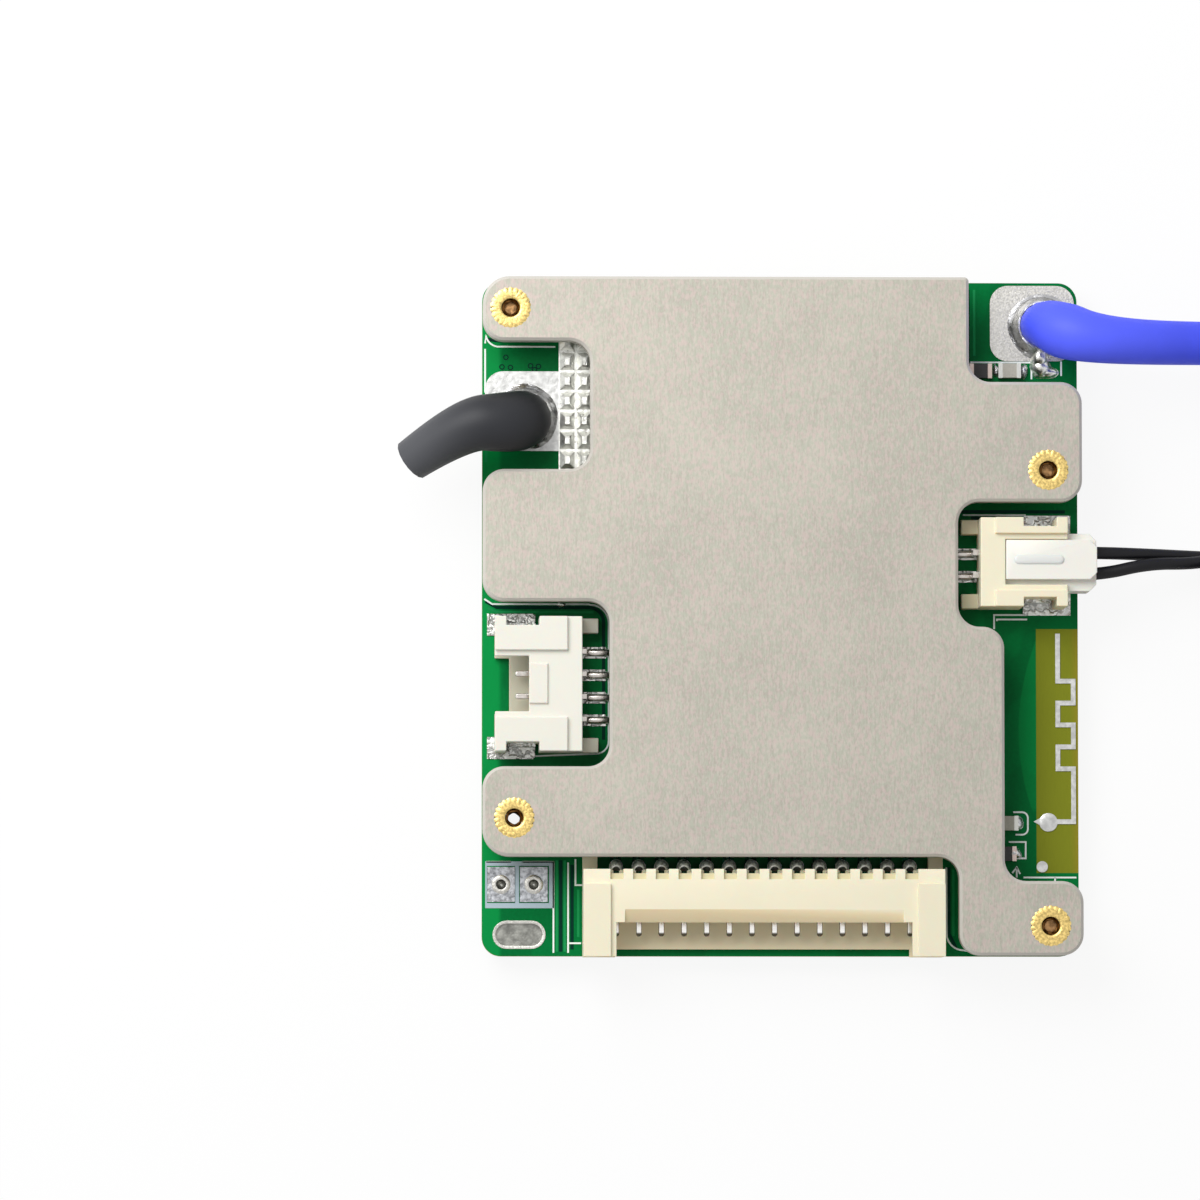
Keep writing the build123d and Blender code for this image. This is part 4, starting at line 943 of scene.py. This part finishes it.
def makePrint():
    makeStrokes("silkscreen_strokes", silk["strokes"], silk["width"], silk["thick"], "silk")
    work = bmesh.new()
    for x0, y0, x1, y1 in silk["block"]:
        addBox(work, x0, y0, boardTop, x1, y1, boardTop + silk["thick"])
    builtPiece(work, "silkscreen_block", "silk_block")
    makeStrokes("mask_raised_traces", traces["raised"], traces["raisedWidth"], traces["thick"], "trace")
    makeStrokes("mask_sunk_traces", traces["sunk"], traces["sunkWidth"], traces["thick"], "trench")
    work = bmesh.new()
    for x, y in traces["holes"]:
        addRibbon(work, arc(x, y, traces["holeRadius"], 0, 342, 19), traces["holeRim"], boardTop,
                  traces["holeThick"], closed=True)
    builtPiece(work, "tented_holes", "trench")


def makeFeedPad():
    high = topOf("antenna_trace") + feedPad["stands"] - boardTop
    radius = feedPad["radius"]
    work = bmesh.new()
    addTurned(work, *feedPad["place"], boardTop, [(radius, 0), (radius, high - 0.01), (radius - 0.02, high)])
    builtPiece(work, "antenna_feed_pad", "tin")


makePrint()
makeFeedPad()
print("board print made")


# plated edges and films of solder in the slot and the switch pads
plating = {
    "middle": (-23.2, -28.1), "length": 4.3, "width": 2.1, "wall": 0.06,
    # how far out from the slot's edge and up from the board
    "rim": [(-0.06, 0.03), (0.0, 0.05), (0.2, 0.04), (0.2, 0.0)],
    # the film's share of the slot and how far it has sunk
    "film": [(1.0, 0.35), (0.8, 0.5), (0.6, 0.58), (0.4, 0.6), (0.2, 0.6), (0.03, 0.6)],
    "padHoles": [(-24.8, -23.65), (-21.9, -23.65)],
    # radius and height above the board
    "holeFilm": [(0.03, -0.5), (0.25, -0.45), (0.42, -0.2), (0.45, 0.0)],
    "holeRim": [(0.45, boardBottom - boardTop), (0.45, 0.16), (0.55, 0.19), (0.8, 0.16), (0.86, 0.08)],
}


def makePlating():
    x, y = plating["middle"]
    inside = stadium(plating, -plating["wall"])
    rims, films = bmesh.new(), bmesh.new()
    rings = [[at(*point, boardBottom) for point in inside]]
    rings += [[at(*point, boardTop + rise) for point in stadium(plating, out)] for out, rise in plating["rim"]]
    addRings(rims, rings, capped=False)
    addRings(films, [[at(x + (px - x) * share, y + (py - y) * share, boardTop - sink) for px, py in inside]
                     for share, sink in plating["film"]])
    for x, y in plating["padHoles"]:
        addTurned(films, x, y, boardTop, plating["holeFilm"], 24, 0.01, 4, capped=False)
        addTurned(rims, x, y, boardTop, plating["holeRim"], 32, 0.01, 3, capped=False)
    builtPiece(films, "slot_solder", "dull_solder", 60)
    builtPiece(rims, "hole_plating", "pad_tin", 50)


makePlating()
print("plating made")


# the cut-off lead, which swells at its bend
dischargeLead = {
    "diameter": 3.9,
    "route": [(-22.7, 17.9, 3.6), (-22.6, 17.45, 6.6), (-24.3, 16.95, 9.05), (-28.2, 16.85, 9.6),
              (-32.78, 13.75, 7.1)],
    "swell": {1: 1.36, 2: 1.38, 3: 1.2, 4: 0.97},
    "strand": 0.44, "rings": 2, "twist": 7, "inside": 0.3, "length": 0.55,
}


def addStrands(work, start, heading, bundle):
    strand = bundle["strand"]
    heading = heading.normalized()
    side = heading.cross(Vector((0, 0, 1))).normalized()
    up = side.cross(heading)
    places = [(0.0, 0.0)]
    for ring in range(1, bundle["rings"] + 1):
        places += [(strand * ring, 360 * index / (6 * ring) + 12 * ring) for index in range(6 * ring)]
    for radius, angle in places:
        loops = []
        for step in range(7):
            turn = radians(angle + bundle["twist"] * step / 6)
            centre = (start + heading * bundle["length"] * step / 6
                      + (side * cos(turn) + up * sin(turn)) * radius)
            loops.append(ringRound(centre, side, up, strand / 2, 8))
        addRings(work, loops)


def makeDischargeLead():
    makeLead("discharge_lead_insulation", dischargeLead["route"], dischargeLead, "black", "black",
             "discharge_lead_sleeve")
    before, end = [Vector(point) for point in dischargeLead["route"][-2:]]
    heading = end - before
    work = bmesh.new()
    addStrands(work, end - heading.normalized() * dischargeLead["inside"], heading, dischargeLead)
    builtPiece(work, "discharge_lead_strands", "copper")


makeDischargeLead()
print("discharge lead made")


# a tie's section is its inner radius, foot, outer radius and top
ties = {
    "battery": {"angle": 41.25, "section": (14.65, 0.02, 23.35, 4.75), "width": 3.0, "thick": 0.35},
    "sensor": {"angle": 180.0, "section": (5.2, 1.3, 7.0, 6.75), "width": 2.0, "thick": 0.3},
}
leadEnd = {"strand": 0.46, "rings": 2, "twist": 60, "length": 5.0}
bead = {"diameter": 2.8, "length": 5.5, "start": (52.4, -0.5, 8.825), "heading": (-0.435, -0.9, 0.0),
        "profile": [(0.0, 0.45), (0.04, 0.62), (0.14, 0.84), (0.3, 0.97), (0.5, 1.0), (0.68, 0.97), (0.84, 0.8),
                    (0.94, 0.52), (0.99, 0.2), (1.0, 0.04)]}


def makeTie(name, tie, coil):
    angle = radians(tie["angle"])
    radial = Vector((cos(angle), sin(angle), 0))
    along = Vector((-radial.y, radial.x, 0))
    centre = Vector((*coil["centre"], 0))
    inner, low, outer, high = tie["section"]
    width, thick = tie["width"], tie["thick"]
    corner = min(high - low, outer - inner) * 0.42
    outline = roundedBox(inner, low, outer, high, corner)
    inside = roundedBox(inner + thick, low + thick, outer - thick, high - thick, corner - thick)
    between = [(a[0] * 0.7 + b[0] * 0.3, a[1] * 0.7 + b[1] * 0.3) for a, b in zip(outline, inside)]
    half = width / 2
    bevel = thick * 0.3
    work = bmesh.new()

    def place(reach, offset, z):
        return at(*(centre + radial * reach + along * offset + Vector((0, 0, z))))

    def block(r0, r1, z0, z1, wide, inset):
        loops = []
        for reach, cut in ((r0, 0), (r1 - inset, 0), (r1, inset)):
            loops.append([place(reach, side * (wide - cut), z) for side, z in cornersOf(z0 + cut, z1 - cut)])
        addRings(work, loops)

    addRings(work, [[place(reach, offset, z) for reach, z in points] for points, offset in (
        (inside, -half), (between, -half), (outline, bevel - half), (outline, half - bevel), (between, half),
        (inside, half), (inside, -half))], capped=False)
    # the lock head, with the strap's end through it
    middle, tall = (low + high) / 2, width * 0.62
    block(outer - 0.05, outer + width * 0.55, middle - tall, middle + tall, half + thick * 1.2, thick * 0.5)
    block(outer + width * 0.1, outer + width * 0.1 + thick * 1.2, middle + tall - 0.1,
          middle + tall + width * 0.5, half * 0.9, thick * 0.3)
    return builtPiece(work, name, "tie", 40)


def makeLeadEnd():
    end, turn = batteryCoilEnd()
    work = bmesh.new()
    addStrands(work, Vector(end), Vector((sin(turn), -cos(turn), 0)), leadEnd)
    strands = builtPiece(work, "battery_lead_strands", "strand")
    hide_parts("battery_lead_tip")
    return strands


def makeBead():
    start = Vector(bead["start"])
    heading = Vector(bead["heading"]).normalized()
    up = Vector((0, 0, 1))
    side = up.cross(heading)
    work = bmesh.new()
    radius = bead["diameter"] / 2
    addRings(work, [ringRound(start + heading * bead["length"] * share, side, up, radius * size, 24)
                    for share, size in bead["profile"]])
    drop = builtPiece(work, "thermistor_drop", "epoxy", 60)
    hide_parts("thermistor_bead")
    return drop


def declareLeads():
    tie = makeTie("battery_lead_tie", ties["battery"], batteryLead["coil"])
    makeLeadEnd()
    shared = [makeTie("sensor_lead_tie", ties["sensor"], sensorWires["coil"]), makeBead()]


declareLeads()
print("ties, strands and bead made")


studio = {"floorSize": 3.0, "floorColour": (0.9, 0.9, 0.9, 1.0), "floorGlow": 0.9, "worldLight": 0.47,
          "lampPower": 0.61, "lampSize": 0.2, "lampAt": (-115.0, 115.0, 195.0)}


def makeFloor():
    half = studio["floorSize"] / 2
    mesh = bpy.data.meshes.new("floor")
    mesh.from_pydata([(x * half, y * half, 0) for x, y in cornersOf(-1, 1)], [], [(0, 1, 2, 3)])
    linked("floor", mesh)
    material = bpy.data.materials.new("floor")
    mesh.materials.append(material)
    nodes = Nodes(material)
    nodes.tree.nodes.clear()
    lit = nodes.node("ShaderNodeBsdfDiffuse", {}, {"Color": studio["floorColour"]})
    glow = nodes.node("ShaderNodeEmission", {}, {})
    seen = nodes.node("ShaderNodeLightPath", {}, {}, "Is Camera Ray")
    mixed = nodes.node("ShaderNodeMixShader", {}, {0: seen * studio["floorGlow"], 1: lit, 2: glow})
    nodes.node("ShaderNodeOutputMaterial", {}, {"Surface": mixed})


def makeWorld():
    # plain light for the object, and white behind it and in what it mirrors
    scene.world = bpy.data.worlds.new("studio")
    nodes = Nodes(scene.world)
    nodes.tree.nodes.clear()
    light, white = [nodes.node("ShaderNodeBackground", {}, {"Color": (1, 1, 1, 1), "Strength": strength})
                    for strength in (studio["worldLight"], 1.0)]
    seen = nodes.node("ShaderNodeLightPath", {}, {}, "Is Camera Ray")
    for ray in ("Is Glossy Ray", "Is Transmission Ray"):
        seen = seen.orGreater(nodes.node("ShaderNodeLightPath", {}, {}, ray))
    mixed = nodes.node("ShaderNodeMixShader", {}, {0: seen, 1: light, 2: white})
    nodes.node("ShaderNodeOutputWorld", {}, {"Surface": mixed})


def makeLamp():
    lamp = linked("key_lamp", bpy.data.lights.new("key_lamp", "AREA"))
    lamp.data.energy = studio["lampPower"]
    lamp.data.shape = "DISK"
    lamp.data.size = studio["lampSize"]
    lamp.location = at(*studio["lampAt"])
    lamp.rotation_euler = (lamp.location - at(0, 0, 3)).to_track_quat("Z", "Y").to_euler()


makeFloor()
makeWorld()
makeLamp()
print("studio made")
